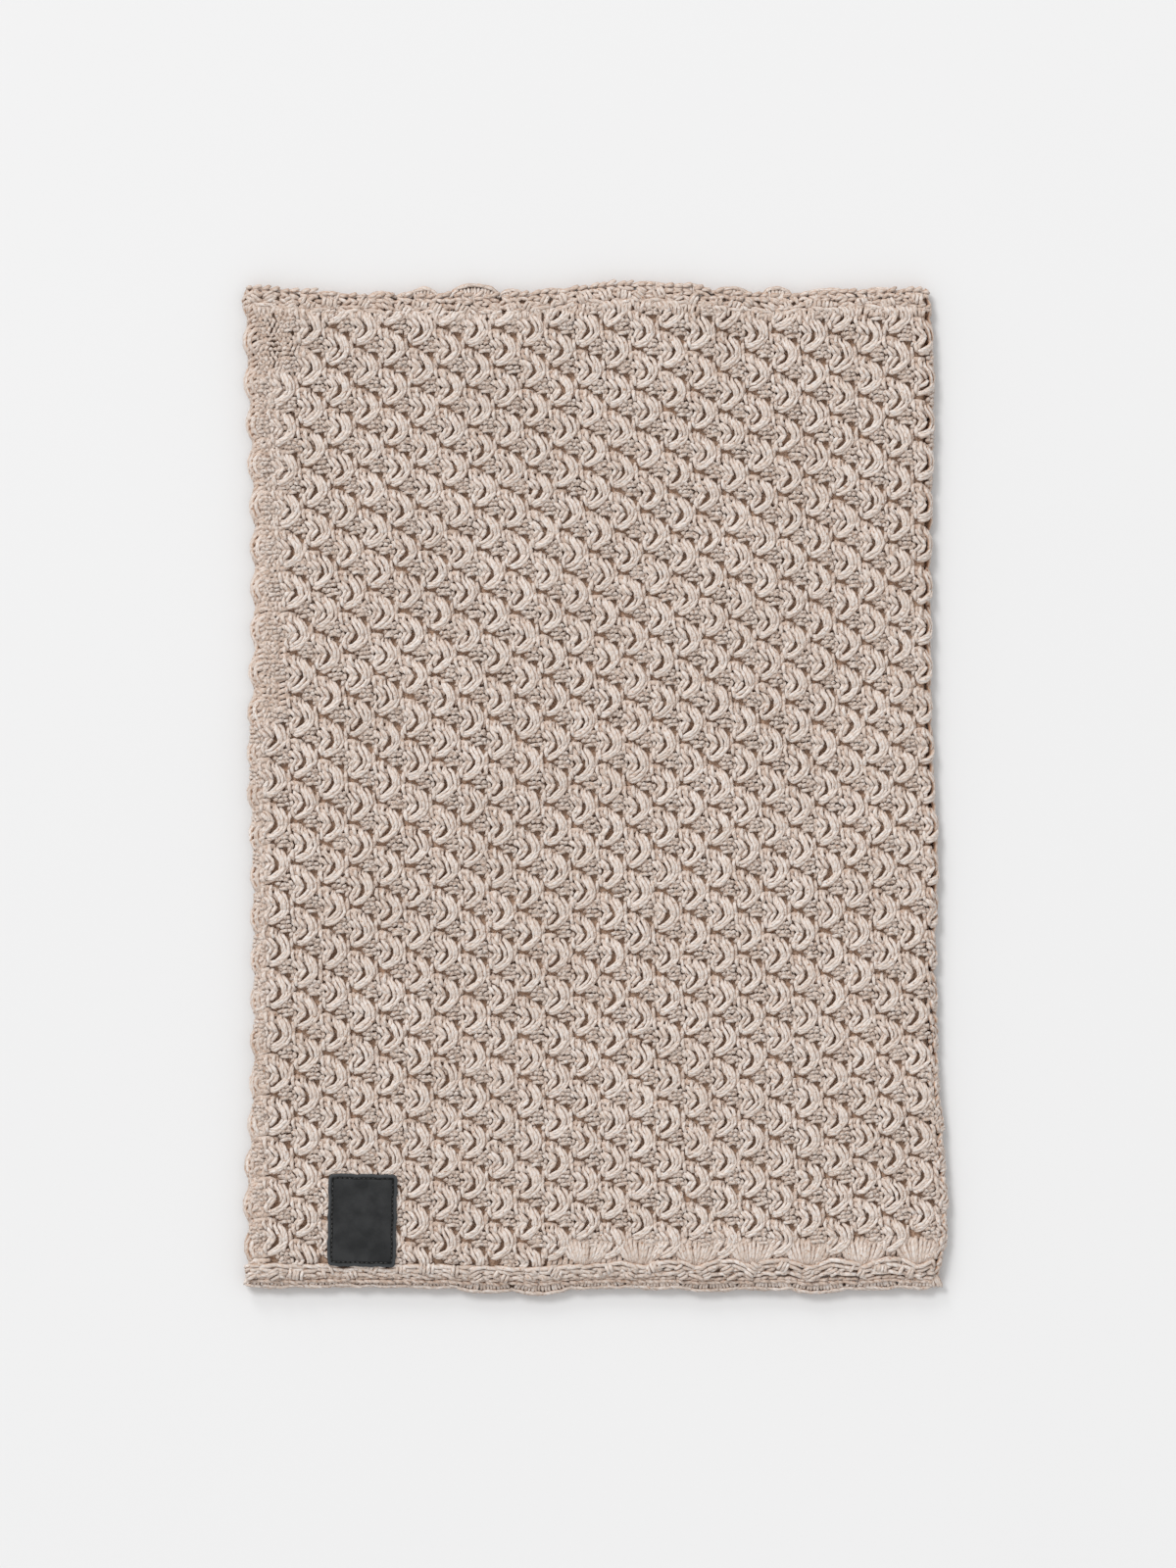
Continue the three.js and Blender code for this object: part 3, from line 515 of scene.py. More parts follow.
def front_knit(material):
    places, across, heights = curl_centres(None, FRONT_RIGHT)
    seen = outside_label(across - LABEL_SHIFT, heights) > LABEL_COVER
    places, heights = places[seen], heights[seen]
    kinds = ((CURL_BAND, BAND_POINTS, BAND_SIDES, BAND_LIT_TONES),
             (CURL_LEGS, LEG_POINTS, LEG_SIDES, LEG_TONES),
             (HOLLOW_BUMPS, BUMP_POINTS, BUMP_SIDES, BUMP_SHADED_TONES),
             (CURL_FILL, LEG_POINTS, BUMP_SIDES, ALL_TONES))
    pieces = []
    for name, low, high in FRONT_PIECES:
        own = places[(heights >= low) & (heights < high)]
        lift = rng.uniform(*FRONT_LIFT, len(own))
        yarn = Yarn()
        for strands, points, sides, tones in kinds:
            for strand in strands:
                add_strand(yarn, own, lift, strand, points, sides, lay_front, tones)
        pieces.append(yarn.piece(name, material))
    return pieces


# The same knit on the back, pressed flat by the floor and seen from below only
def back_knit(material):
    places, _, heights = curl_centres(BACK_LEFT, BACK_RIGHT)
    pieces = []
    for name, low, high in BACK_PIECES:
        own = places[(heights >= low) & (heights < high)]
        lift = rng.uniform(*BACK_LIFT, len(own))
        yarn = Yarn()
        for strands, points in ((CURL_BAND, BACK_BAND_POINTS), (BACK_LEGS, BACK_LEG_POINTS)):
            for strand in strands:
                add_strand(yarn, own, lift, strand, points, BACK_SIDES, lay_back, wider=BACK_WIDER)
        pieces.append(yarn.piece(name, material))
    return pieces


# Height of a row that dips at each gathered column of the pattern and arches between, from 0 to 1
def arches(x, row=FOOT_ROW):
    phase = (x - CURL_ANCHOR[0] - along(WANDER, 2, row)) / REPEAT_ACROSS
    return np.abs(np.sin(math.pi * phase))


# Chain links lying along a row: each a sideways V of two short slanted strands
def chain(yarn, x0, x1, row, pitch=LINK, wide=EDGE_YARN, spread=1.5, high=1.6):
    x = np.arange(x0, x1, pitch)
    x = x + rng.normal(0, 0.45, len(x))
    slope = (row(x + 1.0) - row(x - 1.0)) / 2 + rng.normal(0, 0.13, len(x))
    for side in (-1.0, 1.0):
        path = stamped(x, row(x), [(-0.9, side * 0.35, 0.3), (0.7, side * 0.75, high),
                                   (2.4, side * spread, high), (3.9, side * spread * 1.2, 0.3)])
        path[..., 1] += slope[:, None] * (path[..., 0] - x[:, None])
        add_paths(yarn, path, wide, uneven=1.2)


# Long strands that lie along a row, each starting under the one before
def long_row(yarn, x0, x1, row, pitch, length, wide, high, drift, lay=lay_front, deep=0.0):
    x = np.arange(x0, x1, pitch)
    x = x + rng.normal(0, 0.5, len(x))
    t = np.linspace(0, 1, 5)
    across = x[:, None] + length * t[None, :]
    up = row(across) + drift * (t[None, :] - 0.5) * rng.choice([-1.0, 1.0], (len(x), 1)) * 2
    h = high * np.sin(math.pi * np.clip(t * 0.96 + 0.02, 0, 1))[None, :] + rng.uniform(0.0, 0.5, (len(x), 1))
    add_paths(yarn, np.stack([across, up, h], -1), wide, points=7, lay=lay, uneven=0.6, deep=deep)


# Small groups of strands side by side that cross the rows of an edging
def crossing_groups(yarn, x0, x1, row, pitch, scatter, high):
    x = np.arange(x0, x1, pitch)
    x = x + rng.normal(0, 1.2, len(x))
    lean = rng.choice([-1.15, -0.6, 0.5, 1.1, 1.45], len(x))
    middle = row(x) + rng.uniform(-scatter, scatter, len(x))
    half = rng.uniform(2.0, 3.1, len(x))
    for k in (-1.5, -0.5, 0.5, 1.5):
        reach_x, reach_y = np.cos(lean) * half, np.sin(lean) * half
        centre_x, centre_y = x - np.sin(lean) * 1.7 * k, middle + np.cos(lean) * 1.7 * k
        path = np.stack([np.stack([centre_x + t * reach_x, centre_y + t * reach_y, 0 * x + h], -1)
                         for t, h in ((-1.0, high), (-0.4, high + 1.8), (0.4, high + 1.8), (1.0, high))], 1)
        some = rng.uniform(0, 1, len(x)) < 0.8
        add_paths(yarn, path[some], EDGE_THIN)


def front_top(material):
    yarn = Yarn()

    def edge(x):
        return along(ENDS, FRONT_TOP, x)

    def ripple(x, phase):
        return waves(x, (0.55, 5.3, phase), (0.35, 12.1, 2 * phase))

    # rows of chain links: start, depth under the edge, share and phase of their ripple
    rows = ((0.0, 1.5, 0.5, 0.0, dict(pitch=4.3, wide=1.0)), (1.6, 4.5, 1.0, 1.1, dict()),
            (0.7, 7.2, 1.2, 2.3, dict(pitch=3.5, wide=0.92, spread=1.1)))
    for start, down, share, phase, links in rows:
        chain(yarn, TOP_START + start, TOP_END, lambda x: edge(x) - down + share * ripple(x, phase), **links)
    # upright strands from the chain down to the highest curls
    x = np.arange(TOP_START, TOP_END, 1.9)
    x = x + rng.normal(0, 0.25, len(x))
    foot = rng.uniform(-14.5, -12.0, len(x))
    slant = rng.normal(0, 0.7, len(x))
    path = stamped(x, edge(x), [(0, -7.4, 0.8), (0, -9.8, 2.0), (0, -12.6, 0.9)])
    path[:, 2, 1] = edge(x) + foot
    path[:, 0, 0] += slant
    path[:, 2, 0] -= slant
    add_paths(yarn, path, wide=1.02)
    # long floats over them, two in each repeat
    long_row(yarn, TOP_START + 4, TOP_END - 8, lambda x: edge(x) - 9.0 + 1.6 * arches(x, TOP_ROW),
             pitch=REPEAT_ACROSS / 2, length=11.5, wide=1.0, high=2.0, drift=0.9)
    crossing_groups(yarn, TOP_START + 4, TOP_END - 2, lambda x: edge(x) - 5.6,
                    pitch=8.3, scatter=1.6, high=0.6)
    return yarn.piece("front_top_stitches", material)


def front_foot(material):
    yarn = Yarn()

    def edge(x):
        return along(ENDS, FRONT_FOOT, x)

    # how high the hanging strands arch, which grows toward the right
    def rise(x):
        return (0.4 + 3.4 * smooth(-30.0, 70.0, x)) * arches(x)

    # strands that fan out of the gathered columns up to the lowest curls
    gathers = np.arange(-1, 8) * REPEAT_ACROSS + CURL_ANCHOR[0] + along(WANDER, 2, FOOT_ROW)
    gathers = gathers[(gathers > FAN_FROM) & (gathers < FOOT_END - 2)]
    for j in np.arange(-FAN_REACH, FAN_REACH) + 0.5:
        top = j * FAN_SPREAD + rng.normal(0, 0.25, len(gathers))
        path = stamped(gathers, edge(gathers), [
            (0, 20.6, 0.8), (0, 17.0, 1.9), (0, 11.6, 2.1), (0, 6.4, 0.8)])
        for k, share in enumerate((1.0, 0.94, 0.66, 0.26)):
            path[:, k, 0] += top * share
        path[:, 3, 1] += 2.0 * np.abs(j) / FAN_REACH
        add_paths(yarn, path, FLOAT_YARN, points=6)
    # deep strands behind them
    x = np.arange(-20.0, FOOT_END - 4, 2.4)
    for up in (9.5, 14.0, 18.5):
        path = stamped(x, edge(x) + up, [(-0.6, -2.8, 0.8), (0.0, 0.0, 1.1), (0.6, 2.8, 0.8)])
        add_paths(yarn, path, DEEP_YARN, sides=4)
    # long strands that hang from one gathered column to the next and arch between them
    for up, share, high, length, drift in ((6.8, 1.0, 3.0, 11.6, 0.7), (5.0, 0.85, 2.7, 10.4, 0.8),
                                           (3.1, 0.5, 2.2, 9.2, 0.7)):
        long_row(yarn, FOOT_START, FOOT_END - 9, lambda x: edge(x) + up + share * rise(x),
                 6.2, length, 1.08, high, drift)
    for up, share, pitch, spread, high in ((3.4, 0.6, 5.1, 1.2, 2.5), (0.9, 0.2, 3.4, 0.9, 1.3)):
        chain(yarn, FOOT_START, FOOT_END - 3, lambda x: edge(x) + up + share * rise(x),
              pitch, 0.95, spread, high)
    crossing_groups(yarn, FOOT_START + 3, FOOT_END - 8, lambda x: edge(x) + 4.8 + 0.5 * rise(x),
                    pitch=11.3, scatter=1.8, high=2.0)
    return yarn.piece("front_foot_stitches", material)


def back_edge(material, name, front_column, outward, domes, past):
    yarn = Yarn()

    def front(x):
        return along(ENDS, front_column, x)

    def edge(x):
        rise = np.zeros_like(x)
        for middle, half, high in domes:
            rise = np.maximum(rise, high * np.sqrt(np.clip(1 - ((x - middle) / half) ** 2, 0, 1)))
        return front(x) + outward * (rise + past)

    # ribs that fan out in each dome, above and against the floor
    for middle, half, high in domes:
        share = np.arange(-1 + 0.5 * RIB_PITCH / half, 1, RIB_PITCH / half)
        x = middle + half * share
        root = middle + 0.55 * half * share
        for level, lift, wide in ((0.0, 1.0, 0.98), (-2.6, -1.0, 1.0)):
            path = np.stack([
                np.stack([root, front(root) - outward * 5.5, 0 * x + level], -1),
                np.stack([(root + x) / 2, front(x) - outward * 1.6, 0 * x + level + lift], -1),
                np.stack([x, edge(x) - outward * 0.35, 0 * x + level], -1)], 1)
            add_paths(yarn, path, wide, lay=lay_under, uneven=0.7, deep=2.0 - level)
    # the rolled edge: rows of long strands from the upper side round to the floor
    for down, inset, wide in ((0.0, 0.7, 0.78), (1.3, 0.4, 0.82), (2.6, 0.6, 0.95), (3.7, 1.2, 0.90)):
        long_row(yarn, BACK_START, BACK_END,
                 lambda x: edge(x) - outward * (inset + 0.2 * np.sin(x / 2.7 + down)),
                 pitch=3.0, length=5.2, wide=wide, high=0.5, drift=0.3,
                 lay=lambda x, y, h: lay_under(x, y, h - down), deep=2.0)
    return yarn.piece(name, material)


# The plain column at the left: slanted strands over the fold and small purl stitches beside them
def left_column(material):
    yarn = Yarn()
    y = np.arange(*SEAM_SPAN, SEAM_PITCH)
    y = y + rng.normal(0, 0.2, len(y))
    edge = along(SIDES, 1, y)
    fuller = 0.8 + 0.5 * scallop(y)
    for across, up in ((0.0, 0.0), (3.6, 1.5)):
        path = stamped(edge + across, y + up, [(-4.6, -2.8, 0.3), (-1.6, -1.7, 1.2), (1.4, 0.0, 1.5),
                                               (3.9, 2.0, 0.5)])
        path[..., 2] *= fuller[:, None]
        add_paths(yarn, path, wide=1.05, points=6, uneven=1.5)
    # bowed strands round each bulge of the fold
    bulges = SCALLOP_AT + SCALLOP_PITCH * np.arange(-16, 7)
    for inward, long, high in ((-1.8, 8.6, 1.9), (0.6, 7.8, 2.4), (3.0, 6.4, 2.5)):
        path = stamped(along(SIDES, 1, bulges) + inward, bulges, [
            (3.4, long, 0.4), (0.9, 0.55 * long, 0.8 * high), (0.0, 0.0, high),
            (0.9, -0.55 * long, 0.8 * high), (3.2, -long, 0.4)])
        add_paths(yarn, path, wide=1.06, points=8, uneven=1.5)
    # long strands close the fold down to the floor
    for over, step, offset in ((4.8, 8.2, 0.0), (7.0, 7.9, 3.0), (9.2, 8.4, 5.5), (11.4, 8.0, 1.5),
                               (13.2, 8.2, 4.0)):
        up = np.arange(*CLOSING_SPAN, step) + offset
        path = stamped(along(SIDES, 1, up) + FOLD_REACH - over, up, [
            (0.3, -5.4, 0.1), (-0.2, -1.5, 0.8), (0.2, 2.2, 0.7), (-0.3, 5.2, 0.1)])
        add_paths(yarn, path, wide=1.12, points=6, uneven=1.2, deep=0.8)
    # under the fold the slanted strands run back along the floor
    path = stamped(edge - 5.6, y - 1.0, [(-4.6, -1.8, -0.4), (-1.0, 0.2, 0.6), (3.2, 2.0, -0.2)])
    add_paths(yarn, path, wide=1.0, points=4, sides=4)
    # deep strands under the purl stitches
    y = np.arange(*PURL_SPAN, DEEP_PITCH)
    inner = np.interp(y, PLAIN_LEFT[:, 0], PLAIN_LEFT[:, 1])
    for share in (0.2, 0.6, 1.0):
        middle = along(SIDES, 1, y) + 4.0 + share * (inner - 4.0 - along(SIDES, 1, y))
        path = stamped(middle, y, [(-3.4, -1.0, 0.7), (0.0, 0.4, 1.0), (3.4, 1.0, 0.7)])
        add_paths(yarn, path, DEEP_YARN, sides=4, uneven=0.6)
    # purl stitches, some of them lying and some standing
    for k, up in enumerate(np.arange(*PURL_SPAN, PURL_UP)):
        first = along(SIDES, 1, up) + 5.6
        last = max(np.interp(up, PLAIN_LEFT[:, 0], PLAIN_LEFT[:, 1]) - 2.6, first + 0.5)
        x = np.arange(first + (k % 2) * 0.5 * PURL_ACROSS, last, PURL_ACROSS)
        turned = np.sin(2 * math.pi * up / REPEAT_UP + x / 2.9) > 0.1
        purl = stamped(x[turned], up, [(-1.15, -0.45, 0.7), (0.0, 0.4, 1.8), (1.15, -0.35, 0.7)])
        purl[..., 1] += (purl[..., 0] - x[turned][:, None]) * rng.uniform(-0.7, 0.7, (len(purl), 1))
        legs = stamped(x[~turned], up, [(-0.7, -1.7, 0.7), (-0.1, 0.0, 1.9), (0.6, 1.7, 0.8)])
        legs[..., 0] = np.where(k % 4 < 2, legs[..., 0], 2 * x[~turned][:, None] - legs[..., 0])
        for path in (purl, legs):
            add_paths(yarn, path, wide=0.98, sides=4, uneven=1.6)
    return yarn.piece("left_column_stitches", material)


# The right side: long upright strands over the fold, a braid of V stitches toward the foot
def right_column(material):
    yarn = Yarn()
    for over, step, offset in ((6.2, 8.6, 0.0), (8.4, 7.9, 3.0), (10.6, 8.2, 5.5), (12.8, 8.0, 1.5)):
        y = np.arange(*RIGHT_SPAN, step) + offset
        y = y + rng.normal(0, 0.5, len(y))
        x = along(SIDES, 2, y) - FOLD_REACH + over
        path = stamped(x, y, [(0.5, -5.4, 0.4), (-0.3, -1.5, 1.9), (0.2, 2.2, 1.8), (-0.4, 5.2, 0.4)])
        add_paths(yarn, path, wide=1.0, points=6, uneven=1.4, tone=np.full(len(y), 0.25))
    y = np.arange(*BRAID_SPAN, BRAID_PITCH)
    x = along(SIDES, 2, y) - 3.6
    for side in (-1.0, 1.0):
        path = stamped(x, y, [(side * 2.6, 1.9, 0.9), (side * 1.7, 0.4, 2.7), (side * 0.4, -2.4, 0.9)])
        add_paths(yarn, path, wide=1.0)
    return yarn.piece("right_column_stitches", material)


# The thin cloth that carries the yarn: one tube, open at the top and the foot
def cloth_tube(material):
    half = TUBE_COLUMNS // 2
    over = FOLD_ARC * math.pi * 0.5
    outer, inner = [], []
    for share in np.linspace(0, 1, TUBE_ROWS):
        up = TUBE_FOOT + TUBE_HEIGHT * share
        left, right = along(SIDES, 1, up), along(SIDES, 2, up)
        layers = ((lay_front, left + FOLD_REACH - over, right - FOLD_REACH + over, half,
                   FRONT_TOP, FRONT_FOOT, TUBE_FRONT_DOWN),
                  (lay_back, right - TUBE_TURN, left + TUBE_TURN, TUBE_COLUMNS - half,
                   BACK_TOP, BACK_FOOT, TUBE_BACK_UP))
        ring_out, ring_in = [], []
        for lay, start, end, many, top_column, foot_column, high in layers:
            x = np.linspace(start, end, many)
            top = along(ENDS, top_column, x) - TUBE_INSET
            foot = along(ENDS, foot_column, x) + TUBE_INSET
            places, facing = lay(x, foot + (top - foot) * share, np.full_like(x, high))
            ring_out.append(places)
            ring_in.append(places - facing * SHEET_THICK)
        outer.append(np.concatenate(ring_out))
        inner.append(np.concatenate(ring_in))
    n = TUBE_ROWS * TUBE_COLUMNS
    index = np.arange(n).reshape(TUBE_ROWS, TUBE_COLUMNS)
    after = np.roll(index, -1, axis=1)
    quads = np.concatenate([
        np.stack([index[:-1], after[:-1], after[1:], index[1:]], -1).reshape(-1, 4),
        np.stack([index[:-1], index[1:], after[1:], after[:-1]], -1).reshape(-1, 4) + n,
        np.stack([index[0], index[0] + n, after[0] + n, after[0]], -1),
        np.stack([index[-1], after[-1], after[-1] + n, index[-1] + n], -1)])
    points = np.concatenate(outer + inner) * MM + PLAN_OFFSET
    mesh = mesh_of("cloth_tube", points, quads.reshape(-1), np.arange(len(quads)) * 4)
    return piece_of("cloth_tube", mesh, material)


# Points given from the label's middle, laid at its place and turn
def on_label(x, y):
    cos, sin = math.cos(LABEL_TURN), math.sin(LABEL_TURN)
    return LABEL["across"] + x * cos - y * sin, LABEL["up"] + y * cos + x * sin


# Moves points from -1 to 1 toward both ends, where the label's edge and groove are
def crowded(t):
    return np.sign(t) * (1 - (1 - np.abs(t)) ** 1.5)


# The leather label: a thin plate with soft edges, a groove and a slightly wavy outline
def label_leather(material):
    half_w, half_h, corner = LABEL["width"] / 2, LABEL["height"] / 2, LABEL["corner"]
    u, v = np.meshgrid(np.linspace(-1, 1, LABEL_COLUMNS), np.linspace(-1, 1, LABEL_ROWS), indexing="xy")
    x, y = crowded(u) * half_w, crowded(v) * half_h
    # rounded corners
    deep_x, deep_y = np.abs(x) - (half_w - corner), np.abs(y) - (half_h - corner)
    both = (deep_x > 0) & (deep_y > 0)
    reach = np.maximum(deep_x, deep_y)
    shrink = np.where(both, reach / (np.hypot(deep_x, deep_y) + TINY), 1.0)
    x = np.where(both, np.sign(x) * (half_w - corner + deep_x * shrink), x)
    y = np.where(both, np.sign(y) * (half_h - corner + deep_y * shrink), y)
    inside = np.where(both, corner - reach, np.minimum(half_w - np.abs(x), half_h - np.abs(y)))
    # the outline's small waves, and the top with its rounded edge, groove and soft puffs
    ease = 1 - smooth(0.0, 5.0, inside)
    x_wavy = x + waves(y, (0.16, 2.1, 1.0), (0.10, 0.9, 0.0)) * ease * np.sign(x)
    y_wavy = y + waves(x, (0.14, 1.7, 0.0), (0.12, 0.8, 2.0)) * ease * np.sign(y)
    edge = 1 - np.sqrt(np.clip(1 - (1 - np.clip(inside / LABEL_EDGE, 0, 1)) ** 2, 0, 1))
    groove = GROOVE_DEEP * np.exp(-(((inside - SEAM_INSET) / GROOVE_WIDE) ** 2))
    puff = waves(x, (0.12, 7.0, 0.6)) + waves(y, (0.10, 9.0, 0.0))
    top = LABEL_TOP - LABEL_TOP_SPARE - LABEL_EDGE_DROP * edge - groove + puff * smooth(0.5, 4.0, inside)
    bottom = np.full_like(top, LABEL_FOOT + LABEL_FOOT_SPARE)
    across, up = on_label(x_wavy, y_wavy)
    points = np.concatenate([np.stack([across, up, top], -1).reshape(-1, 3),
                             np.stack([across, up, bottom], -1).reshape(-1, 3)]) * MM + PLAN_OFFSET
    many = LABEL_ROWS * LABEL_COLUMNS
    index = np.arange(many).reshape(LABEL_ROWS, LABEL_COLUMNS)
    ring = np.concatenate([index[0, :], index[1:, -1], index[-1, -2::-1], index[-2:0:-1, 0]])
    after = np.roll(ring, -1)
    quads = np.concatenate([
        np.stack([index[:-1, :-1], index[:-1, 1:], index[1:, 1:], index[1:, :-1]], -1).reshape(-1, 4),
        np.stack([index[:-1, :-1], index[1:, :-1], index[1:, 1:], index[:-1, 1:]], -1).reshape(-1, 4) + many,
        np.stack([ring, ring + many, after + many, after], -1)])
    mesh = mesh_of("label_leather", points, quads.reshape(-1), np.arange(len(quads)) * 4)
    rim = mesh.attributes.new("rim", "FLOAT", "POINT")
    rim.data.foreach_set("value", np.tile(inside.reshape(-1), 2).astype(np.float32))
    return piece_of("label_leather", mesh, material)


# The thread sewn round the label, lying in its groove
def label_thread(material):
    yarn = Yarn()
    half_w, half_h = LABEL["width"] / 2 - SEAM_INSET, LABEL["height"] / 2 - SEAM_INSET
    path = []
    for side in (-1, 1):
        for y in np.arange(-half_h + 1.2, half_h - 1.0, THREAD_PITCH):
            path.append([(side * half_w, y - THREAD_LONG / 2), (side * half_w, y + THREAD_LONG / 2)])
        for x in np.arange(-half_w + 1.2, half_w - 1.0, THREAD_PITCH):
            path.append([(x - THREAD_LONG / 2, side * half_h), (x + THREAD_LONG / 2, side * half_h)])
    path = np.array(path)
    path = np.concatenate([path[:, :1], path.mean(axis=1, keepdims=True), path[:, 1:]], axis=1)
    x, y = on_label(path[..., 0], path[..., 1])
    z = LABEL_TOP - THREAD_DOWN + np.array(THREAD_ARCH)[None, :] + 0 * x
    lines = resampled(np.stack([x, y, z], -1), 5)
    facing = np.zeros_like(lines)
    facing[..., 2] = 1.0
    size = THREAD_WIDE * tapered(5)[None, :] * np.ones(lines.shape[:2])
    yarn.add(lines, facing, size, size, np.full(lines.shape[:2], DEEPEST), 5)
    return yarn.piece("label_thread", material)


WHITE = (1.0, 1.0, 1.0, 1)
# Yarn: light and dark fibres, brown flecks, random tone and uneven dye, and painted shade that darkens it
# by the kind of strand, deep in the knit, on its lower sides and in the pinches between stitches
BEIGE = ((0.722, 0.702, 0.690, 1), (0.59, 0.48, 0.405, 1), (0.37, 0.225, 0.145, 1))
DARK = ((0.05, 0.05, 0.05, 1), (0.025, 0.025, 0.025, 1), (0.02, 0.02, 0.02, 1))
TONE_AND_SHADE_TINT, DYE_TINT = (0.80, 0.75, 0.71, 1), (0.95, 0.94, 0.93, 1)
DEPTH_SHADE_TINT, SIDE_SHADE_TINT, PINCH_SHADE_TINT = (0.79, 0.63, 0.515, 1), (0.83, 0.62, 0.47, 1), (0.93, 0.885, 0.845, 1)
# Painted shade: the brown of the cloth under the yarn, seen in the deep gaps
GROUND_SHADE_DARK, GROUND_SHADE_LIGHT = (0.46, 0.28, 0.18, 1), (0.64, 0.45, 0.33, 1)
LEATHER_DARK, LEATHER_LIGHT = (0.0155, 0.0162, 0.0168, 1), (0.030, 0.0308, 0.0315, 1)
# Painted highlight along the label's rim, and painted shade in the groove of its seam
LEATHER_RIM_HIGHLIGHT, LEATHER_GROOVE_SHADE = (0.047, 0.050, 0.053, 1), (0.006, 0.006, 0.006, 1)
RIM_HIGHLIGHT_SPAN, GROOVE_SHADE_HALF = (1.7, 0.5), 0.42
FLOOR_DARK, FLOOR_LIGHT = (0.657, 0.657, 0.658, 1), (0.673, 0.673, 0.674, 1)


# The nodes of one material or group, with short ways to add and link the kinds used here
class Graph:
    def __init__(self, tree):
        self.nodes, self.links = tree.nodes, tree.links

    # Links another node's output to a socket, or sets the socket to a value
    def feed(self, socket, value):
        if isinstance(value, bpy.types.NodeSocket):
            self.links.new(value, socket)
        else:
            socket.default_value = value

    # Adds a node, and feeds its sockets by their names
    def add(self, kind, sockets=()):
        node = self.nodes.new("ShaderNode" + kind)
        for name, value in dict(sockets).items():
            self.feed(node.inputs[name], value)
        return node

    def maths(self, kind, a, b=0.0, clamp=False):
        node = self.add("Math", {0: a, 1: b})
        node.operation = kind
        node.use_clamp = clamp
        return node.outputs[0]

    def mix(self, factor, a, b, kind="MIX"):
        node = self.nodes.new("ShaderNodeMix")
        node.data_type = "RGBA"
        node.blend_type = kind
        for socket, value in zip((node.inputs["Factor"], node.inputs[6], node.inputs[7]), (factor, a, b)):
            self.feed(socket, value)
        return node.outputs[2]

    # Multiplies a colour by a mix of two tints
    def tinted(self, colour, factor, a, b):
        return self.mix(1.0, colour, self.mix(factor, a, b), "MULTIPLY")

    def ramp(self, value, low, high):
        return self.add("MapRange", {"Value": value, "From Min": low, "From Max": high}).outputs["Result"]

    def object_place(self):
        return self.add("TexCoord").outputs["Object"]

    def attribute(self, name):
        node = self.add("Attribute")
        node.attribute_name = name
        return node.outputs["Fac"]

    def noise(self, place, scale, detail=2.0, rough=0.5):
        sockets = {"Vector": place, "Scale": scale, "Detail": detail, "Roughness": rough}
        return self.add("TexNoise", sockets).outputs["Fac"]

    def bump(self, shader, height, strength, distance):
        node = self.add("Bump", {"Height": height, "Strength": strength, "Distance": distance})
        self.links.new(node.outputs["Normal"], shader.inputs["Normal"])


# A new material with values for some of its shader's own sockets
def new_material(name, sockets):
    material = bpy.data.materials.new(name)
    material.use_nodes = True
    graph = Graph(material.node_tree)
    shader = graph.nodes["Principled BSDF"]
    for socket, value in sockets.items():
        shader.inputs[socket].default_value = value
    return material, graph, shader


# Fine fibres along a strand, flecks, uneven dye, the strand's tone, its depth in the knit, its
# lower sides and the pinches between its stitches, as masks, and a height. The tone, depth, side and pinch
# masks carry painted shade
def fibre_group():
    group = bpy.data.node_groups.new("yarn fibres", "ShaderNodeTree")
    face = group.interface
    for name, value in (("Fibre pitch", 6.0), ("Twist", 0.09), ("Fleck size", 900.0), ("Stitch pitch", 3.3)):
        face.new_socket(name, in_out="INPUT", socket_type="NodeSocketFloat").default_value = value
    for name in ("Fibre", "Fleck", "Dye", "Tone", "Depth", "Side", "Stitch", "Height"):
        face.new_socket(name, in_out="OUTPUT", socket_type="NodeSocketFloat")
    graph = Graph(group)
    maths = graph.maths
    inputs = graph.nodes.new("NodeGroupInput").outputs
    outputs = graph.nodes.new("NodeGroupOutput").inputs
    uv = graph.add("UVMap")
    uv.uv_map = "Strand"
    split = graph.add("SeparateXYZ", {0: uv.outputs["UV"]}).outputs
    along_strand, round_strand = split["X"], split["Y"]
    place = graph.object_place()
    angle = maths("MULTIPLY", maths("ADD", round_strand, maths("MULTIPLY", along_strand, inputs["Twist"])),
                  2 * math.pi)
    reach = maths("DIVIDE", inputs["Fibre pitch"], 6.0)
    wrap = graph.add("CombineXYZ", {0: maths("MULTIPLY", maths("COSINE", angle), reach),
                                    1: maths("MULTIPLY", maths("SINE", angle), reach),
                                    2: maths("MULTIPLY", along_strand, 0.16)})
    fibre = graph.noise(wrap.outputs[0], 1.3, 3.0, 0.6)
    ply = maths("ABSOLUTE", maths("SINE", maths("MULTIPLY", angle, 1.5)))
    around = maths("SINE", maths("MULTIPLY", round_strand, 2 * math.pi))
    # where a strand is pinched between two stitches, as narrow slanted lines, darkened there with painted
    # shade and dented by the bump
    run = maths("DIVIDE", maths("MULTIPLY", along_strand, math.pi), inputs["Stitch pitch"])
    slanted = maths("ADD", run, maths("MULTIPLY", angle, 0.30))
    stitch = maths("POWER", maths("ABSOLUTE", maths("COSINE", slanted)), 7.0)
    fine = maths("ADD", maths("MULTIPLY", fibre, 0.6), maths("MULTIPLY", ply, 0.5))
    results = {
        "Fibre": fibre, "Fleck": graph.noise(place, inputs["Fleck size"]), "Dye": graph.noise(place, 28.0),
        "Tone": graph.attribute("tone"), "Depth": graph.attribute("depth"),
        "Side": maths("SUBTRACT", 1.0, around, True), "Stitch": stitch,
        "Height": maths("SUBTRACT", fine, maths("MULTIPLY", stitch, 0.28))}
    for name, value in results.items():
        graph.links.new(value, outputs[name])
    return group


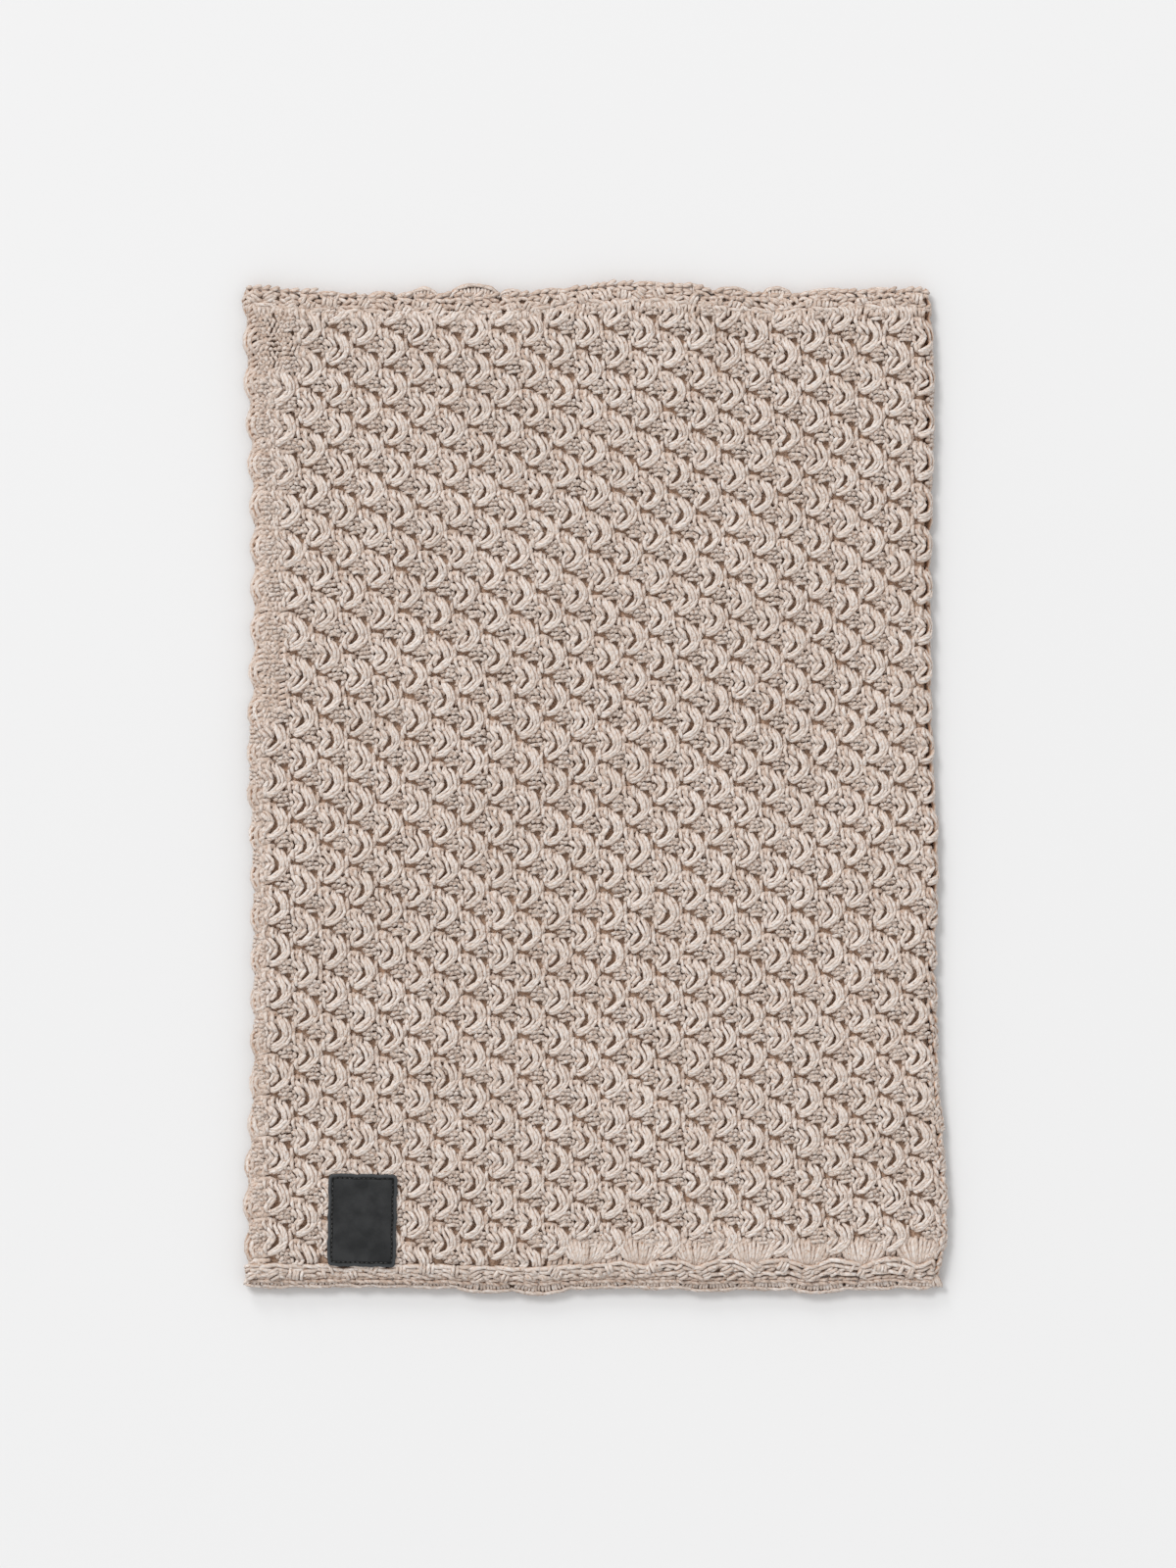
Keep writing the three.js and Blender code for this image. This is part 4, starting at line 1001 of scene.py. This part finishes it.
def yarn_material(name, colours, fibres):
    light, dark, brown = colours
    material, graph, shader = new_material(name, {
        "Roughness": 0.82, "Specular IOR Level": 0.25, "Sheen Weight": 0.25, "Sheen Roughness": 0.5})
    group = graph.add("Group")
    group.node_tree = fibres
    out = group.outputs
    colour = graph.mix(graph.ramp(out["Fibre"], 0.30, 0.72), dark, light)
    colour = graph.mix(graph.ramp(out["Fleck"], 0.60, 0.74), colour, brown)
    # Darkens by the strand's tone: random tone, with painted shade for the stitches in the hollow
    colour = graph.tinted(colour, out["Tone"], TONE_AND_SHADE_TINT, WHITE)
    colour = graph.tinted(colour, graph.ramp(out["Dye"], 0.35, 0.65), DYE_TINT, WHITE)
    # Painted shade: browner where the strand lies deep in the knit
    colour = graph.tinted(colour, graph.ramp(out["Depth"], 0.0, 0.85), DEPTH_SHADE_TINT, WHITE)
    # Painted shade on the lower sides of each strand
    colour = graph.tinted(colour, graph.ramp(out["Side"], 0.25, 1.0), WHITE, SIDE_SHADE_TINT)
    # Painted shade in the pinches between stitches
    colour = graph.tinted(colour, out["Stitch"], WHITE, PINCH_SHADE_TINT)
    graph.links.new(colour, shader.inputs["Base Color"])
    graph.bump(shader, out["Height"], 0.7, 0.0005)
    return material


# The cloth under the yarn, coloured brown as painted shade of the deep gaps between strands
def ground_shade_material():
    material, graph, shader = new_material("knit_ground_shade", {"Roughness": 0.95})
    noise = graph.noise(graph.object_place(), 900.0, 3.0)
    colour = graph.mix(graph.ramp(noise, 0.35, 0.65), GROUND_SHADE_DARK, GROUND_SHADE_LIGHT)
    graph.links.new(colour, shader.inputs["Base Color"])
    graph.bump(shader, noise, 0.8, 0.0008)
    return material


# Dark grained leather, with a painted highlight along its rim and painted shade in the groove of its seam
def leather_material():
    material, graph, shader = new_material("dark_leather", {"Specular IOR Level": 0.16})
    place = graph.object_place()
    mottle = graph.noise(place, 160.0, 4.0)
    grain = graph.add("TexVoronoi", {"Vector": place, "Scale": 1500.0})
    rim = graph.attribute("rim")
    colour = graph.mix(graph.ramp(mottle, 0.35, 0.65), LEATHER_DARK, LEATHER_LIGHT)
    # Painted highlight: lighter along the rounded rim
    colour = graph.mix(graph.ramp(rim, *RIM_HIGHLIGHT_SPAN), colour, LEATHER_RIM_HIGHLIGHT)
    # Painted shade: near black in the groove along the seam
    seam = graph.add("Math", {0: rim, 1: SEAM_INSET, 2: GROOVE_SHADE_HALF})
    seam.operation = "COMPARE"
    colour = graph.mix(seam.outputs[0], colour, LEATHER_GROOVE_SHADE)
    graph.links.new(colour, shader.inputs["Base Color"])
    graph.links.new(graph.ramp(mottle, -1.6, 0.9), shader.inputs["Roughness"])
    graph.bump(shader, grain.outputs["Distance"], 0.35, 0.0002)
    return material


def floor_material():
    material, graph, shader = new_material("pale_floor", {"Roughness": 0.9})
    colour = graph.mix(graph.noise(graph.object_place(), 2.0), FLOOR_DARK, FLOOR_LIGHT)
    graph.links.new(colour, shader.inputs["Base Color"])
    return material


# A round soft light in metres, aimed at the middle of the frame
def area_light(name, place, size, power):
    data = bpy.data.lights.new(name, "AREA")
    data.shape = "DISK"
    data.size = size
    data.energy = power
    lamp = bpy.data.objects.new(name, data)
    lamp.location = place
    lamp.rotation_euler = (-Vector(place)).to_track_quat("-Z", "Y").to_euler()
    bpy.context.scene.collection.objects.link(lamp)


def studio():
    bpy.context.scene.view_settings.view_transform = "Standard"
    bpy.ops.mesh.primitive_plane_add(size=6.0, location=(0, 0, -0.0002))
    floor = bpy.context.object
    floor.name = "floor"
    floor.data.materials.append(floor_material())
    world = bpy.data.worlds.new("soft_room")
    bpy.context.scene.world = world
    world.use_nodes = True
    background = world.node_tree.nodes["Background"]
    background.inputs["Color"].default_value = (1.0, 1.0, 1.0, 1)
    background.inputs["Strength"].default_value = 0.86
    area_light("key", (-7.0, 9.0, 13.8), 6.0, 1440.0)
    area_light("low", (-5.2, 12.9, 7.3), 4.7, 600.0)


# The view straight down on the scarf, with the whole photo's frame of 525 by 700 mm
def camera():
    frame_height, distance, sensor, scarf_top = 0.700, 2.4, 36.0, 0.009
    centre = np.array([-6.5 * STEP, 6.0 * STEP, 0]) * MM + PLAN_OFFSET
    data = bpy.data.cameras.new("camera")
    data.sensor_fit = "AUTO"
    data.sensor_width = sensor
    data.lens = sensor * distance / frame_height
    eye = bpy.data.objects.new("camera", data)
    eye.location = (centre[0], centre[1], distance + scarf_top)
    bpy.context.scene.collection.objects.link(eye)
    bpy.context.scene.camera = eye


FIBRES = fibre_group()
KNIT = yarn_material("beige_yarn", BEIGE, FIBRES)
THREAD = yarn_material("dark_thread", DARK, FIBRES)

tube = cloth_tube(ground_shade_material())
pieces = [(piece, "front_panel", "cloth") for piece in front_knit(KNIT)]
pieces += [(piece, "back_panel", "cloth") for piece in back_knit(KNIT)]
pieces += [
    (front_top(KNIT), "front_top_edging", "edging"),
    (front_foot(KNIT), "front_foot_edging", "edging"),
    (back_edge(KNIT, "back_top_stitches", FRONT_TOP, 1.0, TOP_DOMES, -0.4), "back_top_edging", "edging"),
    (back_edge(KNIT, "back_foot_stitches", FRONT_FOOT, -1.0, FOOT_DOMES, 2.2), "back_foot_edging", "edging"),
    (left_column(KNIT), "left_side_seam", "cloth"),
    (right_column(KNIT), "right_side_seam", "cloth"),
    (label_leather(leather_material()), "label", "leather"),
    (label_thread(THREAD), "label", "leather"),
]
for piece, node, slot in pieces:
    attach(piece, "root")
    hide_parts(node)
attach(tube, "root")
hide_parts("front_panel", "back_panel")

studio()
camera()
